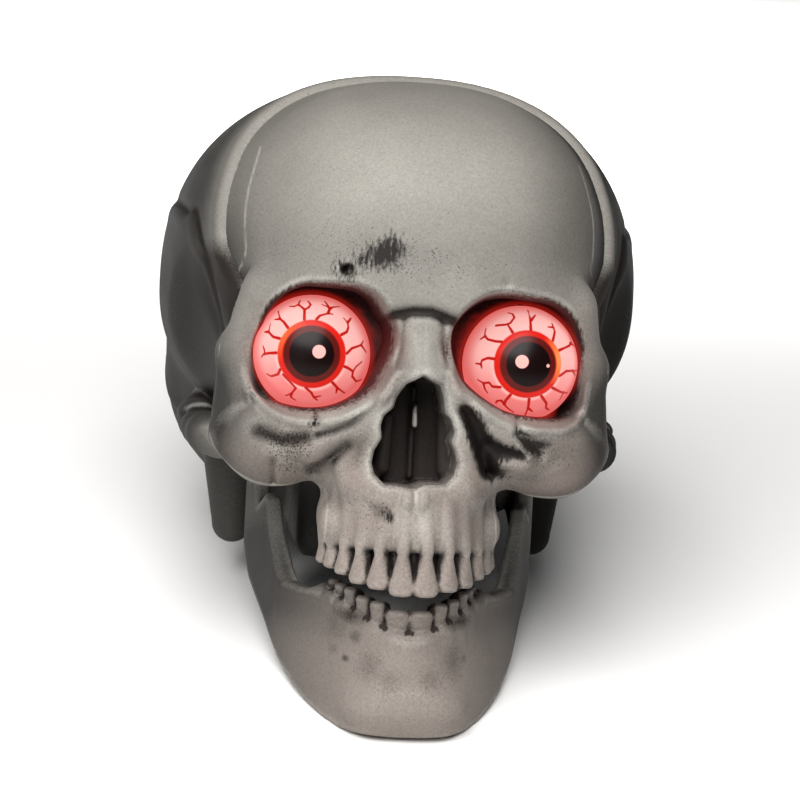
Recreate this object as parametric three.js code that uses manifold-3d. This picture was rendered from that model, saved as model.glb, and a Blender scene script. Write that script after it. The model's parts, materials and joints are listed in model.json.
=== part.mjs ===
// A life-size moulded skull decoration with lit eyes and a hinged jaw. Millimetres, +Z up.
// The skull is modelled level, with its ear holes on the X axis and its face towards -Y, and is then
// leaned back until chin and heel stand on the floor together. Left and right are those of someone facing it.
import * as THREE from "three";
import { mergeVertices } from "three/addons/utils/BufferGeometryUtils.js";
import Module from "manifold-3d";

const wasm = await Module();
wasm.setup();

// Clearances and walls
const seamGap = 0.3;
const fitGap = 0.3;
const shellWall = 3;

// How far an added solid runs into its carrier and a cut runs past a face, and a length beyond every piece
const rootDepth = 1;
const beyond = 160;

// Braincase: a squared oval that narrows towards the brow
const braincaseHalfWidth = 73.4;
const braincaseFront = 88;
const braincaseBack = 85;
const braincaseLevel = 38;
const braincaseCrown = 64;
const braincaseFloor = 50;
const braincaseSquareness = 2.32;
const braincaseTaper = 0.0021;

// Back of the head, base and mastoids
const occiput = { centre: [0, 37, 8], radii: [71, 45, 48], blend: 12 };
const baseLevel = -43;
const baseHalfWidth = 28.5;
const baseFrontY = -24;
const baseBackY = 52;
const baseTopZ = 0;
const baseCorner = 6;
const mastoid = { from: [46, 18, 4], to: [47, 14, -36.5], fromRadius: 14.5, toRadius: 6.3 };
const temple = { centre: [71, -40, 12], radii: [18, 24, 34], blend: 7 };

// Face
const midface = { centre: [0, -52, -2], radii: [45, 34, 20], blend: 8 };
const palate = { centre: [0, -42, -18], half: [20, 22, 16], round: 8, blend: 6 };
const dentalSquareness = 2.2;
const maxilla = { centreY: -60, halfWidth: 26, depth: 31, bottom: -36, top: 2, round: 4, blend: 6 };
const gumCore = { centreY: -60, halfWidth: 19.5, depth: 26, bottom: -43, top: -30, round: 3, blend: 2 };
const glabella = { centre: [0, -82, 31], radii: [16, 7, 8], blend: 8 };
const browInner = { from: [12, -83, 34], to: [44, -67, 33], fromRadius: 5, toRadius: 5, blend: 8 };
const browOuter = { from: [44, -67, 33], to: [50, -58, 18], fromRadius: 5, toRadius: 5, blend: 5 };
const cheekPost = { from: [50, -58, 18], to: [50, -58, -6], fromRadius: 5, toRadius: 7, blend: 5 };
const cheekBody = { centre: [42, -64, -10], radii: [14, 11, 12], blend: 6 };
const cheekUnder = { centre: [46, -62, -44], half: [20.5, 40, 25], round: 3, blend: 3 };
const socketRimOuter = { from: [44, -69, -3], to: [28, -78, -5], fromRadius: 5, toRadius: 5, blend: 5 };
const socketRimInner = { from: [28, -78, -5], to: [12, -82, 4], fromRadius: 5, toRadius: 4, blend: 5 };
const archPath = [[46, -61, -10], [54.5, -48, -8], [58.5, -30, -5],
  [59, -8, -3], [55, 6, -2], [44, 14, -2]];
const archRadius = 5.4;
const noseSide = { from: [15, -80, -14], to: [8, -82, 24], fromRadius: 6.5, toRadius: 5, blend: 5 };
const noseBridge = { from: [2, -82, 29], to: [2, -91, 14], fromRadius: 5, toRadius: 5, blend: 4 };
const cheekHollow = { centre: [22, -91, -13], radii: [6, 7, 9], blend: 6 };

// Nose opening: half of a pear outline, from its foot to its top, and its depth
const noseOutline = [[0, -15.8], [3.5, -16.6], [7.5, -15.6], [10.8, -12], [11.8, -7.5], [10.6, -2.5],
  [10.3, 2], [7, 7.5], [5.9, 11], [3, 14], [0, 14.8]];
const septumDrop = 9;
const noseBackY = -66;
const noseFrontY = -110;
const septumFrontY = -79;
const septumThickness = 2.4;

// Parting line between face and rear shell, from crown to teeth, as (y, z)
const seamLine = [[-6, 120], [-17, 103], [-60, 36], [-54, 22], [-53, -10], [-56, -22], [-60, -36],
  [-60, -60]];

// Eyes
const eyeX = 29.4;
const eyeY = -64;
const eyeZ = 18.6;
const eyeRadius = 16.4;
const eyeWall = 1.6;
const socketClearance = 1;
const socketMouthY = -94;
const socketMouthRadius = 20.5;
const neckRadius = 7.5;
const neckWall = 1.5;
const neckLength = 8;
const cupFlangeRadius = 11;
const cupFlangeThickness = 2;
const cupPlugLength = 5;
const ledRadius = 2.5;
const ledFlangeRadius = 2.95;
const ledFlangeThickness = 1;
const ledLength = 8.6;

// Teeth: widths from the midline outwards, on an oval row
const toothWidths = [7.8, 7.4, 7, 7.2, 7.5, 8];
const toothRootShare = 0.3;
const toothCrownShare = 0.46;
const toothRiseCount = 4;
const upperRow = {
  halfWidth: 24.5, frontY: -92, depth: 34, rootZ: -32, crownZ: -41.5, rise: 0.5, rootSet: 1.5,
};
const lowerRow = {
  halfWidth: 22.5, frontY: -86, depth: 35, rootZ: -62, crownZ: -53.6, rise: 0.9, rootSet: 0.5,
};
const lowerToothScale = 0.9;

// Jaw: an oval horseshoe in plan with a height that follows its side view, as (y, z)
const jawHalfWidth = 44;
const jawCentreY = -2;
const jawDepth = 86.5;
const jawSquareness = 1.8;
const jawThicknessRear = 6.4;
const jawThicknessChin = 10;
const jawLean = 5;
const jawUnder = [[-84, -84], [-77, -84.2], [-71, -82.6], [-62, -78.8], [-46, -71], [-16, -51], [-6, -41]];
const jawTop = [[-90, -58.5], [-62, -55], [-53, -50], [-46, -48], [-41, -43], [-36, -35], [-32, -25],
  [-28, -23.5], [-22, -27], [-18, -10], [-10, -8.5], [-6, -14]];
const jawLeanFoot = -74;
const jawLeanRise = 22;
const jawLeanRear = -44;
const jawLeanRun = 25;
const jawLeanHalfWidth = 20;
const chinStart = 40;
const chinFull = 80;
// Section of the jaw from under edge to upper edge, as (share of height, share of thickness drawn in)
const jawSection = [[0, 0.55], [0.1, 0.12], [0.38, 0], [0.68, 0], [0.9, 0.12], [1, 0.5]];
const jawRearY = -6.2;

// Jaw hinge
const pivotY = -13;
const pivotZ = -15;
const pivotRadius = 1.9;
const pivotHeadRadius = 4;
const pivotHeadThickness = 2;
const pivotLength = 12.5;
const lugRadius = 5.5;
const lugEndX = 33.6;
const washerThickness = 0.7;
const washerRadius = 5;
const hingeEyeRadius = 6.5;
const hingeEyeWidth = 7.4;

// Base plate, battery bay and door
const plateThickness = 3.5;
const plateRecess = 2;
const cellRadius = 5.25;
const cellLength = 44.5;
const nubRadius = 1.9;
const nubLength = 1;
const cellSpacing = 11.4;
const cellGap = 0.4;
const bayY = 14;
const bayWall = 1.4;
const doorThickness = 2;
const doorLedge = 5;
const doorSideLedge = 2.5;
const screwRadius = 1.2;
const screwHeadRadius = 2.2;
const screwHeadThickness = 1.5;
const screwLength = 9;
const doorScrewLength = 6;
const doorBossRadius = 2.8;
const doorBossHeight = 4;
const baseBossRadius = 3.6;
const baseBossInset = 3.2;
const baseBossHeight = 18;

// Contacts, board, switch and leads
const contactThickness = 0.5;
const contactWidth = 8;
const contactHeight = 8;
const contactTabWidth = 3;
const contactTabRise = 3.5;
const coilWireRadius = 0.35;
const coilTurns = 3;
const coilLength = 4.7;
const coilFootRadius = 3.4;
const coilTipRadius = 2.4;
const boardWidth = 22;
const boardLength = 26;
const boardThickness = 1.6;
const boardY = 8;
const boardPostRadius = 1.5;
const boardPostInset = 2;
const boardPostHeight = 1.5;
const switchX = 19;
const switchY = 14;
const switchWidth = 5.6;
const switchLength = 11;
const switchHeight = 5;
const knobWidth = 2.8;
const knobLength = 3.2;
const knobTravel = 3;
const knobReach = 2.5;
const knobRise = 1.2;
const leadRadius = 0.9;
// Ways of the leads: from the eyes as (x, y behind the start, z), and of the others as offsets
const eyeLeadBend = [[28.8, 6, 18], [24, 17, 4]];
const eyeLeadLanding = [[15, 1, 9], [8, 0, 1.5], [4, 0, 0]];
const eyeLandingY = 4;
const switchLeadBow = [[0, 1, 5], [4, 3, 9]];
const switchLandingY = 4;
const batteryLeadBow = 5;
const landing = 5;

// Facet counts and the depth of the two standing flats
const outerDetail = 12;
const innerDetail = 7;
const halvings = 24;
const jawStations = 24;
const socketSteps = 6;
const toothRowSteps = 240;
const limbSteps = 4;
const limbSegments = 14;
const archSteps = 14;
const archSides = 10;
const cornerSteps = 4;
const hingeSegments = 16;
const coilStepsPerTurn = 8;
const coilSides = 5;
const detailPull = new THREE.Vector3(0, -0.35, -0.1);
const skullCore = new THREE.Vector3(0, -12, 18);
const turnSegments = 20;
const screwSegments = 10;
const toothSegments = 6;
const leadSides = 6;
const leadStepsPerSpan = 3;
const standFlat = 0.5;
const steepestLean = Math.PI / 4;

// Signed fields of the modelled skull: negative inside. Points use |x|, so both sides match.
const join = (a, b, blend) => {
  const share = Math.max(blend - Math.abs(a - b), 0) / blend;
  return Math.min(a, b) - (share * share * blend) / 4;
};
const carve = (a, b, blend) => -join(-a, b, blend);

function oval(p, { centre, radii }) {
  const q = p.map((v, i) => (v - centre[i]) / radii[i]);
  const near = Math.hypot(...q);
  const slope = Math.hypot(...q.map((v, i) => v / radii[i]));
  return (near * (near - 1)) / Math.max(slope, 1e-6);
}

function limb(p, { from, to, fromRadius, toRadius }) {
  const along = to.map((v, i) => v - from[i]);
  const reach = p.map((v, i) => v - from[i]);
  const length2 = along.reduce((sum, v) => sum + v * v, 0);
  const share = THREE.MathUtils.clamp(reach.reduce((sum, v, i) => sum + v * along[i], 0) / length2, 0, 1);
  const off = reach.map((v, i) => v - share * along[i]);
  return Math.hypot(...off) - THREE.MathUtils.lerp(fromRadius, toRadius, share);
}

function roundedBlock(p, { centre, half, round }) {
  const q = p.map((v, i) => Math.abs(v - centre[i]) - half[i] + round);
  return Math.hypot(...q.map((v) => Math.max(v, 0))) + Math.min(Math.max(...q), 0) - round;
}

function squaredOval(offsets, reaches, squareness) {
  const size = Math.max(offsets.reduce((sum, v, i) => sum + Math.abs(v / reaches[i]) ** squareness, 0), 1e-4);
  return Math.hypot(...offsets) * (1 - size ** (-1 / squareness));
}

function archPost(p, { centreY, halfWidth, depth, bottom, top, round }) {
  const plan = squaredOval([p[0], p[1] - centreY], [halfWidth, depth], dentalSquareness) + round;
  const rise = Math.abs(p[2] - (bottom + top) / 2) - (top - bottom) / 2 + round;
  return Math.hypot(Math.max(plan, 0), Math.max(rise, 0)) + Math.min(Math.max(plan, rise), 0) - round;
}

function braincase([x, y, z]) {
  const up = z - braincaseLevel;
  const width = braincaseHalfWidth * (1 + braincaseTaper * Math.min(y, 0));
  const reaches = [width, y < 0 ? braincaseFront : braincaseBack, up > 0 ? braincaseCrown : braincaseFloor];
  return squaredOval([x, y, up], reaches, braincaseSquareness);
}

const addedLimbs = [
  browInner, browOuter, cheekPost, socketRimOuter, socketRimInner, noseSide, noseBridge,
];

function skullField(x, y, z) {
  const p = [Math.abs(x), y, z];
  let s = join(braincase(p), oval(p, occiput), occiput.blend);
  s = carve(s, oval(p, temple), temple.blend);
  s = join(s, oval(p, midface), midface.blend);
  s = join(s, roundedBlock(p, palate), palate.blend);
  s = join(s, archPost(p, maxilla), maxilla.blend);
  s = join(s, oval(p, glabella), glabella.blend);
  s = join(s, oval(p, cheekBody), cheekBody.blend);
  for (const part of addedLimbs) s = join(s, limb(p, part), part.blend);
  s = carve(s, roundedBlock(p, cheekUnder), cheekUnder.blend);
  s = join(s, archPost(p, gumCore), gumCore.blend);
  return carve(s, oval(p, cheekHollow), cheekHollow.blend);
}

// Solids from geometry, and geometry from solids
function solid(geometry) {
  const bare = new THREE.BufferGeometry().setAttribute("position", geometry.getAttribute("position"));
  bare.setIndex(geometry.index);
  const merged = mergeVertices(bare, 1e-4);
  const triVerts = new Uint32Array(merged.index.array);
  const vertProperties = merged.attributes.position.array;
  return new wasm.Manifold(new wasm.Mesh({ numProp: 3, vertProperties, triVerts }));
}

function geometryOf(body) {
  const mesh = body.getMesh();
  const geometry = new THREE.BufferGeometry();
  geometry.setAttribute("position", new THREE.BufferAttribute(new Float32Array(mesh.vertProperties), 3));
  geometry.setIndex(new THREE.BufferAttribute(new Uint32Array(mesh.triVerts), 1));
  geometry.computeVertexNormals();
  return geometry;
}

// The largest body of a cut solid, without the trimmings that the cut leaves.
const largest = (body) => body.decompose().sort((a, b) => b.volume() - a.volume())[0];

function box(x0, x1, y0, y1, z0, z1) {
  const geometry = new THREE.BoxGeometry(x1 - x0, y1 - y0, z1 - z0);
  return solid(geometry.translate((x0 + x1) / 2, (y0 + y1) / 2, (z0 + z1) / 2));
}

// A turned solid about the Y axis, from (radius, y) points that run from the axis round to the axis.
function turned(points, segments = turnSegments) {
  const profile = points.map(([radius, along]) => new THREE.Vector2(Math.max(radius, 0), along));
  return new THREE.LatheGeometry(profile, segments);
}

// A plain rod along one axis between two places on it.
function rod(axis, radius, start, end, segments = screwSegments) {
  const geometry = new THREE.CylinderGeometry(radius, radius, Math.abs(end - start), segments);
  geometry.translate(0, (start + end) / 2, 0);
  if (axis === "x") geometry.rotateZ(-Math.PI / 2);
  if (axis === "z") geometry.rotateX(Math.PI / 2);
  return geometry;
}

// The surface of a field seen from its core: the outermost face, or the first one met from inside.
function radialSolid(field, detail, outermost) {
  const bare = new THREE.IcosahedronGeometry(1, detail).deleteAttribute("normal").deleteAttribute("uv");
  const sphere = mergeVertices(bare);
  const place = sphere.attributes.position;
  const ray = new THREE.Vector3();
  const stride = 2;
  for (let i = 0; i < place.count; i++) {
    ray.fromBufferAttribute(place, i).add(detailPull).normalize();
    const value = (t) => field(skullCore.x + ray.x * t, skullCore.y + ray.y * t, skullCore.z + ray.z * t);
    let inside = outermost ? beyond : 0;
    if (outermost) while (inside > 0 && value(inside) > 0) inside -= stride;
    else while (value(inside + stride) < 0) inside += stride;
    let outside = inside + stride;
    for (let step = 0; step < halvings; step++) {
      const middle = (inside + outside) / 2;
      if (value(middle) < 0) inside = middle;
      else outside = middle;
    }
    ray.multiplyScalar(inside).add(skullCore);
    place.setXYZ(i, ray.x, ray.y, ray.z);
  }
  return solid(sphere);
}

// A solid with a side-view outline, given as (y, z), between two places across the skull.
function sideExtrusion(outline, x0, x1) {
  const shape = new THREE.Shape(outline.map(([y, z]) => new THREE.Vector2(y, z)));
  const geometry = new THREE.ExtrudeGeometry(shape, { depth: x1 - x0, bevelEnabled: false });
  geometry.applyMatrix4(new THREE.Matrix4().set(0, 0, 1, x0, 1, 0, 0, 0, 0, 1, 0, 0, 0, 0, 0, 1));
  return solid(geometry);
}

// A solid with a front-view outline, given as (x, z), between two depths.
function frontExtrusion(outline, y0, y1) {
  const shape = new THREE.Shape(outline.map(([x, z]) => new THREE.Vector2(x, -z)));
  const geometry = new THREE.ExtrudeGeometry(shape, { depth: y1 - y0, bevelEnabled: false });
  geometry.applyMatrix4(new THREE.Matrix4().set(1, 0, 0, 0, 0, 0, 1, y0, 0, -1, 0, 0, 0, 0, 0, 1));
  return solid(geometry);
}

// The hollow that each eye sits in, or its wall's outside when grown: a cone that ends round the eyeball.
function socket(side, grow) {
  const backRadius = eyeRadius + socketClearance + grow;
  const points = [[0, socketMouthY - eyeY], [socketMouthRadius + grow, socketMouthY - eyeY]];
  for (let step = 0; step <= socketSteps; step++) {
    const angle = (Math.PI / 2) * (step / socketSteps);
    points.push([backRadius * Math.cos(angle), backRadius * Math.sin(angle)]);
  }
  return solid(turned(points).translate(side * eyeX, eyeY, eyeZ));
}

// Places of the teeth on one side of a row, by arc length along its oval.
function toothPlaces(row, scale) {
  const at = (i) => {
    const angle = (Math.PI / 2) * (i / toothRowSteps);
    return [row.halfWidth * Math.sin(angle), row.frontY + row.depth * (1 - Math.cos(angle))];
  };
  const places = [];
  let run = 0;
  let edge = 0;
  let step = 0;
  for (const width of toothWidths) {
    const middle = edge + (width * scale) / 2;
    while (run < middle && step < toothRowSteps) {
      const [a, b] = [at(step), at(step + 1)];
      run += Math.hypot(b[0] - a[0], b[1] - a[1]);
      step += 1;
    }
    const [x, y] = at(step);
    places.push({ x, y, width: width * scale, index: places.length });
    edge += width * scale;
  }
  return places;
}

// One tooth: a turned peg from its root to a rounded crown, on one side of the row.
function tooth(row, place, side) {
  const rise = row.rise * Math.min(place.index, toothRiseCount);
  const crownZ = row.crownZ + rise;
  const down = Math.sign(row.rootZ - crownZ);
  const length = Math.abs(row.rootZ - crownZ);
  const root = place.width * toothRootShare;
  const crown = place.width * toothCrownShare;
  const points = [[0, length], [root, length], [crown, 0]];
  for (const angle of [0.5, 1]) points.push([crown * Math.cos(angle), -crown * Math.sin(angle)]);
  points.push([0, -crown]);
  const geometry = turned(points.reverse(), toothSegments).rotateX((Math.PI / 2) * down);
  const set = row.rootSet / length;
  geometry.applyMatrix4(new THREE.Matrix4().set(1, 0, 0, 0, 0, 1, set * down, 0, 0, 0, 1, 0, 0, 0, 0, 1));
  return solid(geometry.translate(side * place.x, place.y, crownZ));
}

const withTeeth = (body, row, scale) => {
  let made = body;
  for (const place of toothPlaces(row, scale)) {
    for (const side of [-1, 1]) made = made.add(tooth(row, place, side));
  }
  return made;
};

// A tapered limb with round ends, on one side of the skull.
function limbSolid({ from, to, fromRadius, toRadius }, side) {
  const start = new THREE.Vector3(side * from[0], from[1], from[2]);
  const along = new THREE.Vector3(side * to[0], to[1], to[2]).sub(start);
  const points = [];
  for (let step = 0; step <= limbSteps; step++) {
    const angle = (Math.PI / 2) * (step / limbSteps);
    points.push([fromRadius * Math.sin(angle), -fromRadius * Math.cos(angle)]);
  }
  for (let step = 0; step <= limbSteps; step++) {
    const angle = (Math.PI / 2) * (step / limbSteps);
    points.push([toRadius * Math.cos(angle), along.length() + toRadius * Math.sin(angle)]);
  }
  const geometry = turned(points, limbSegments);
  const upright = new THREE.Vector3(0, 1, 0);
  const turn = new THREE.Quaternion().setFromUnitVectors(upright, along.clone().normalize());
  return solid(geometry.applyQuaternion(turn).translate(start.x, start.y, start.z));
}

// Shells: outer skull less its hollow, parted along the seam
function makeShells() {
  let outer = radialSolid(skullField, outerDetail, true);
  outer = outer.add(openingPlan(-shellWall, baseLevel - rootDepth, baseTopZ));
  for (const side of [-1, 1]) {
    const points = archPath.map(([x, y, z]) => new THREE.Vector3(side * x, y, z));
    outer = outer.add(tube(new THREE.CatmullRomCurve3(points), archRadius, archSteps, archSides));
    outer = outer.add(limbSolid(mastoid, side));
  }
  const hollow = radialSolid((x, y, z) => skullField(x, y, z) + shellWall, innerDetail, false);
  const wall = outer.subtract(hollow);
  const front = (shift) => {
    const line = seamLine.map(([y, z]) => [y + shift, z]);
    const [top, foot] = [line[0][1], line.at(-1)[1]];
    return sideExtrusion([...line, [-beyond, foot], [-beyond, top]], -beyond, beyond);
  };
  const nose = frontExtrusion(mirrored(noseOutline), noseFrontY, noseBackY);
  const noseWall = frontExtrusion(grown(mirrored(noseOutline), shellWall), noseFrontY, noseBackY + shellWall);
  let face = wall.intersect(front(0)).add(noseWall.intersect(outer).subtract(nose)).subtract(nose);
  const [noseFoot, noseTop] = [noseOutline[0][1], noseOutline.at(-1)[1]];
  face = face.add(box(-septumThickness / 2, septumThickness / 2, septumFrontY, noseBackY + rootDepth,
    noseFoot - rootDepth, noseTop - septumDrop));
  let rear = wall.subtract(front(seamGap));
  rear = rear.subtract(box(-beyond, beyond, -beyond, beyond, -beyond, baseLevel));
  rear = rear.subtract(openingPlan(0, baseLevel - rootDepth, baseTopZ));
  for (const side of [-1, 1]) {
    face = face.add(socket(side, shellWall).intersect(outer));
  }
  const socketBack = eyeY + eyeRadius + socketClearance + shellWall;
  for (const side of [-1, 1]) {
    const bore = rod("y", neckRadius + fitGap, eyeY, socketBack + rootDepth, turnSegments);
    face = face.subtract(socket(side, 0)).subtract(solid(bore.translate(side * eyeX, 0, eyeZ)));
    rear = rear.subtract(socket(side, shellWall + seamGap));
  }
  face = withTeeth(face, upperRow, 1);
  for (const [x, y] of baseScrewPlaces) {
    const boss = rod("z", baseBossRadius, plateTop + fitGap, plateTop + baseBossHeight);
    const pilot = rod("z", screwRadius + fitGap, plateTop - rootDepth, plateTop + screwLength);
    rear = rear.add(solid(boss.translate(x, y, 0))).subtract(solid(pilot.translate(x, y, 0)));
  }
  for (const side of [-1, 1]) {
    const lug = rod("x", lugRadius, side * (baseHalfWidth - shellWall / 2), side * lugEndX, hingeSegments);
    const pilot = rod("x", pivotRadius + fitGap, side * (pivotEndX - fitGap), side * beyond);
    rear = rear.add(solid(lug.translate(0, pivotY, pivotZ)));
    rear = rear.subtract(solid(pilot.translate(0, pivotY, pivotZ)));
  }
  return { face: largest(face), rear: largest(rear) };
}

// Half an outline that starts and ends on the midline, completed on its other side.
function mirrored(half) {
  const other = half.slice(1, -1).reverse().map(([x, z]) => [-x, z]);
  return [...half, ...other];
}

// An outline pushed outwards from its middle by a wall.
function grown(outline, wall) {
  const middle = outline.reduce((sum, [, z]) => sum + z, 0) / outline.length;
  return outline.map(([x, z]) => {
    const length = Math.hypot(x, z - middle);
    return [x * (1 + wall / length), middle + (z - middle) * (1 + wall / length)];
  });
}

// Heights read off a side-view line at one depth.
function heightAt(line, y) {
  const last = line.length - 1;
  if (y <= line[0][0]) return line[0][1];
  if (y >= line[last][0]) return line[last][1];
  const i = line.findIndex(([end]) => end >= y);
  const [[y0, z0], [y1, z1]] = [line[i - 1], line[i]];
  return THREE.MathUtils.lerp(z0, z1, (y - y0) / (y1 - y0));
}

// Jaw: sections across a horseshoe, joined ring to ring and closed at both rear edges
function makeJaw() {
  const endAngle = Math.acos(((jawCentreY - jawRearY) / jawDepth) ** (jawSquareness / 2));
  const power = 2 / jawSquareness;
  const stations = [];
  for (let i = -jawStations; i <= jawStations; i++) {
    const angle = endAngle * Math.abs(i / jawStations);
    const side = Math.sign(i);
    const outer = [jawHalfWidth * Math.sin(angle) ** power, jawCentreY - jawDepth * Math.cos(angle) ** power];
    const slope = [
      outer[0] ** (jawSquareness - 1) / jawHalfWidth ** jawSquareness,
      -((jawCentreY - outer[1]) ** (jawSquareness - 1)) / jawDepth ** jawSquareness,
    ];
    const length = Math.hypot(...slope);
    const chin = THREE.MathUtils.smoothstep(-outer[1], chinStart, chinFull);
    const thickness = THREE.MathUtils.lerp(jawThicknessRear, jawThicknessChin, chin);
    const inner = outer.map((v, k) => v - (slope[k] / length) * thickness);
    const middleY = (outer[1] + inner[1]) / 2;
    const [low, high] = [heightAt(jawUnder, middleY), heightAt(jawTop, middleY)];
    const point = (from, to, [share, inset]) => {
      const z = THREE.MathUtils.lerp(low, high, share);
      const x = from[0] + ((to[0] - from[0]) * inset) / 2;
      const y = from[1] + ((to[1] - from[1]) * inset) / 2;
      const upper = THREE.MathUtils.clamp((z - jawLeanFoot) / jawLeanRise, 0, 1);
      const forward = THREE.MathUtils.clamp((jawLeanRear - y) / jawLeanRun, 0, 1);
      const lean = jawLean * upper * forward * Math.min(1, x / jawLeanHalfWidth);
      return [side * Math.max(x - lean, 0), y, z];
    };
    const ring = jawSection.map((level) => point(outer, inner, level));
    ring.push(...[...jawSection].reverse().map((level) => point(inner, outer, level)));
    stations.push(ring);
  }
  const count = jawSection.length * 2;
  const place = stations.flat(2);
  const faces = [];
  for (let i = 0; i < stations.length - 1; i++) {
    for (let k = 0; k < count; k++) {
      const [a, b] = [i * count + k, i * count + ((k + 1) % count)];
      faces.push(a, a + count, b, b, a + count, b + count);
    }
  }
  const lastRing = (stations.length - 1) * count;
  for (let k = 1; k < jawSection.length; k++) {
    const [a, b, c, d] = [k - 1, k, count - 1 - k, count - k];
    faces.push(a, b, c, a, c, d);
    faces.push(...[a, c, b, a, d, c].map((index) => lastRing + index));
  }
  const geometry = new THREE.BufferGeometry();
  geometry.setAttribute("position", new THREE.Float32BufferAttribute(place, 3));
  geometry.setIndex(faces);
  let jaw = solid(geometry);
  for (const side of [-1, 1]) {
    const hingeEnd = side * (hingeEyeX + hingeEyeWidth);
    const eye = rod("x", hingeEyeRadius, side * hingeEyeX, hingeEnd, hingeSegments);
    const bore = rod("x", pivotRadius + fitGap, side * (hingeEyeX - rootDepth), side * beyond);
    const headSpace = rod("x", pivotHeadRadius + fitGap, hingeEnd, side * beyond);
    jaw = jaw.add(solid(eye.translate(0, pivotY, pivotZ)));
    jaw = jaw.subtract(solid(bore.translate(0, pivotY, pivotZ)));
    jaw = jaw.subtract(solid(headSpace.translate(0, pivotY, pivotZ)));
  }
  return withTeeth(jaw, lowerRow, lowerToothScale);
}

// Places that several pieces share
const plateBottom = baseLevel + plateRecess;
const plateTop = plateBottom + plateThickness;
const openingHalf = baseHalfWidth - shellWall;
const openingFront = baseFrontY + shellWall;
const openingBack = baseBackY - shellWall;
const baseScrewPlaces = [-1, 1].flatMap((side) => [
  [side * (openingHalf - baseBossInset), openingFront + baseBossInset],
  [side * (openingHalf - baseBossInset), openingBack - baseBossInset],
]);
const hingeEyeX = lugEndX + fitGap + washerThickness + fitGap;
const pivotHeadX = hingeEyeX + hingeEyeWidth + fitGap;
const pivotEndX = pivotHeadX - pivotLength;
const contactSpace = contactThickness + 2 * fitGap;
const bayLength = cellLength + coilLength + 2 * fitGap + 2 * contactSpace;
const doorTop = plateBottom + doorThickness;
const cellZ = doorTop + cellGap + cellRadius;
const bayTop = cellZ + cellRadius + cellGap;
const bayHalf = cellSpacing / 2 + cellRadius + cellGap;
const doorHalf = bayHalf + doorSideLedge;
const doorHalfLength = bayLength / 2 + doorLedge;
const doorScrewY = bayY + bayLength / 2 + doorLedge / 2;
const roofTop = bayTop + bayWall;
const boardBottom = roofTop + boardPostHeight + fitGap;
const boardTop = boardBottom + boardThickness;
const leadZ = boardTop + fitGap + leadRadius;
const slotHalf = (knobLength + knobTravel) / 2 + 2 * fitGap;

// The base opening's plan, drawn in by a gap, between two heights.
function openingPlan(gap, bottom, top) {
  const corner = baseCorner - shellWall - gap;
  const shape = new THREE.Shape();
  const [x1, y0, y1] = [openingHalf - gap, openingFront + gap, openingBack - gap];
  shape.moveTo(-x1 + corner, y0);
  shape.lineTo(x1 - corner, y0).absarc(x1 - corner, y0 + corner, corner, -Math.PI / 2, 0);
  shape.lineTo(x1, y1 - corner).absarc(x1 - corner, y1 - corner, corner, 0, Math.PI / 2);
  shape.lineTo(-x1 + corner, y1).absarc(-x1 + corner, y1 - corner, corner, Math.PI / 2, Math.PI);
  shape.lineTo(-x1, y0 + corner).absarc(-x1 + corner, y0 + corner, corner, Math.PI, Math.PI * 1.5);
  const settings = { depth: top - bottom, bevelEnabled: false, curveSegments: cornerSteps };
  return solid(new THREE.ExtrudeGeometry(shape, settings).translate(0, 0, bottom));
}

// Base plate with the battery bay on its upper side and the door's recess below
function makeBasePlate() {
  const bayEnd = bayLength / 2;
  const doorEnd = doorHalfLength + fitGap;
  let plate = openingPlan(fitGap, plateBottom, plateTop);
  plate = plate.add(box(-bayHalf - bayWall, bayHalf + bayWall, bayY - bayEnd - bayWall,
    bayY + bayEnd + bayWall, plateBottom + rootDepth, roofTop));
  const boss = rod("z", doorBossRadius, plateBottom + rootDepth, plateTop + doorBossHeight);
  plate = plate.add(solid(boss.translate(0, doorScrewY, 0)));
  for (const [x, y] of boardPostPlaces()) {
    const post = rod("z", boardPostRadius, roofTop - rootDepth, roofTop + boardPostHeight);
    plate = plate.add(solid(post.translate(x, y, 0)));
  }
  plate = plate.subtract(
    box(-bayHalf, bayHalf, bayY - bayEnd, bayY + bayEnd, plateBottom - rootDepth, bayTop));
  plate = plate.subtract(box(-doorHalf - fitGap, doorHalf + fitGap, bayY - doorEnd, bayY + doorEnd,
    plateBottom - rootDepth, doorTop + fitGap));
  const doorPilot = rod("z", screwRadius + fitGap, plateBottom, plateBottom + doorScrewLength + fitGap);
  plate = plate.subtract(solid(doorPilot.translate(0, doorScrewY, 0)));
  for (const [x, y] of baseScrewPlaces) {
    const hole = rod("z", screwRadius + fitGap, plateBottom - rootDepth, plateTop + rootDepth);
    plate = plate.subtract(solid(hole.translate(x, y, 0)));
  }
  const slotSide = knobWidth / 2 + fitGap;
  plate = plate.subtract(box(switchX - slotSide, switchX + slotSide, switchY - slotHalf, switchY + slotHalf,
    plateBottom - rootDepth, plateTop + rootDepth));
  for (const side of [-1, 1]) {
    const x = (side * cellSpacing) / 2;
    const reach = contactTabWidth / 2 + fitGap;
    plate = plate.subtract(box(x - reach, x + reach, rearContactY - fitGap,
      rearContactY + contactThickness + fitGap, bayTop - rootDepth, roofTop + rootDepth));
  }
  return plate;
}

const boardPostPlaces = () => [-1, 1].flatMap((side) => [-1, 1].map((end) => [
  side * (boardWidth / 2 - boardPostInset), boardY + end * (boardLength / 2 - boardPostInset),
]));

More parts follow.
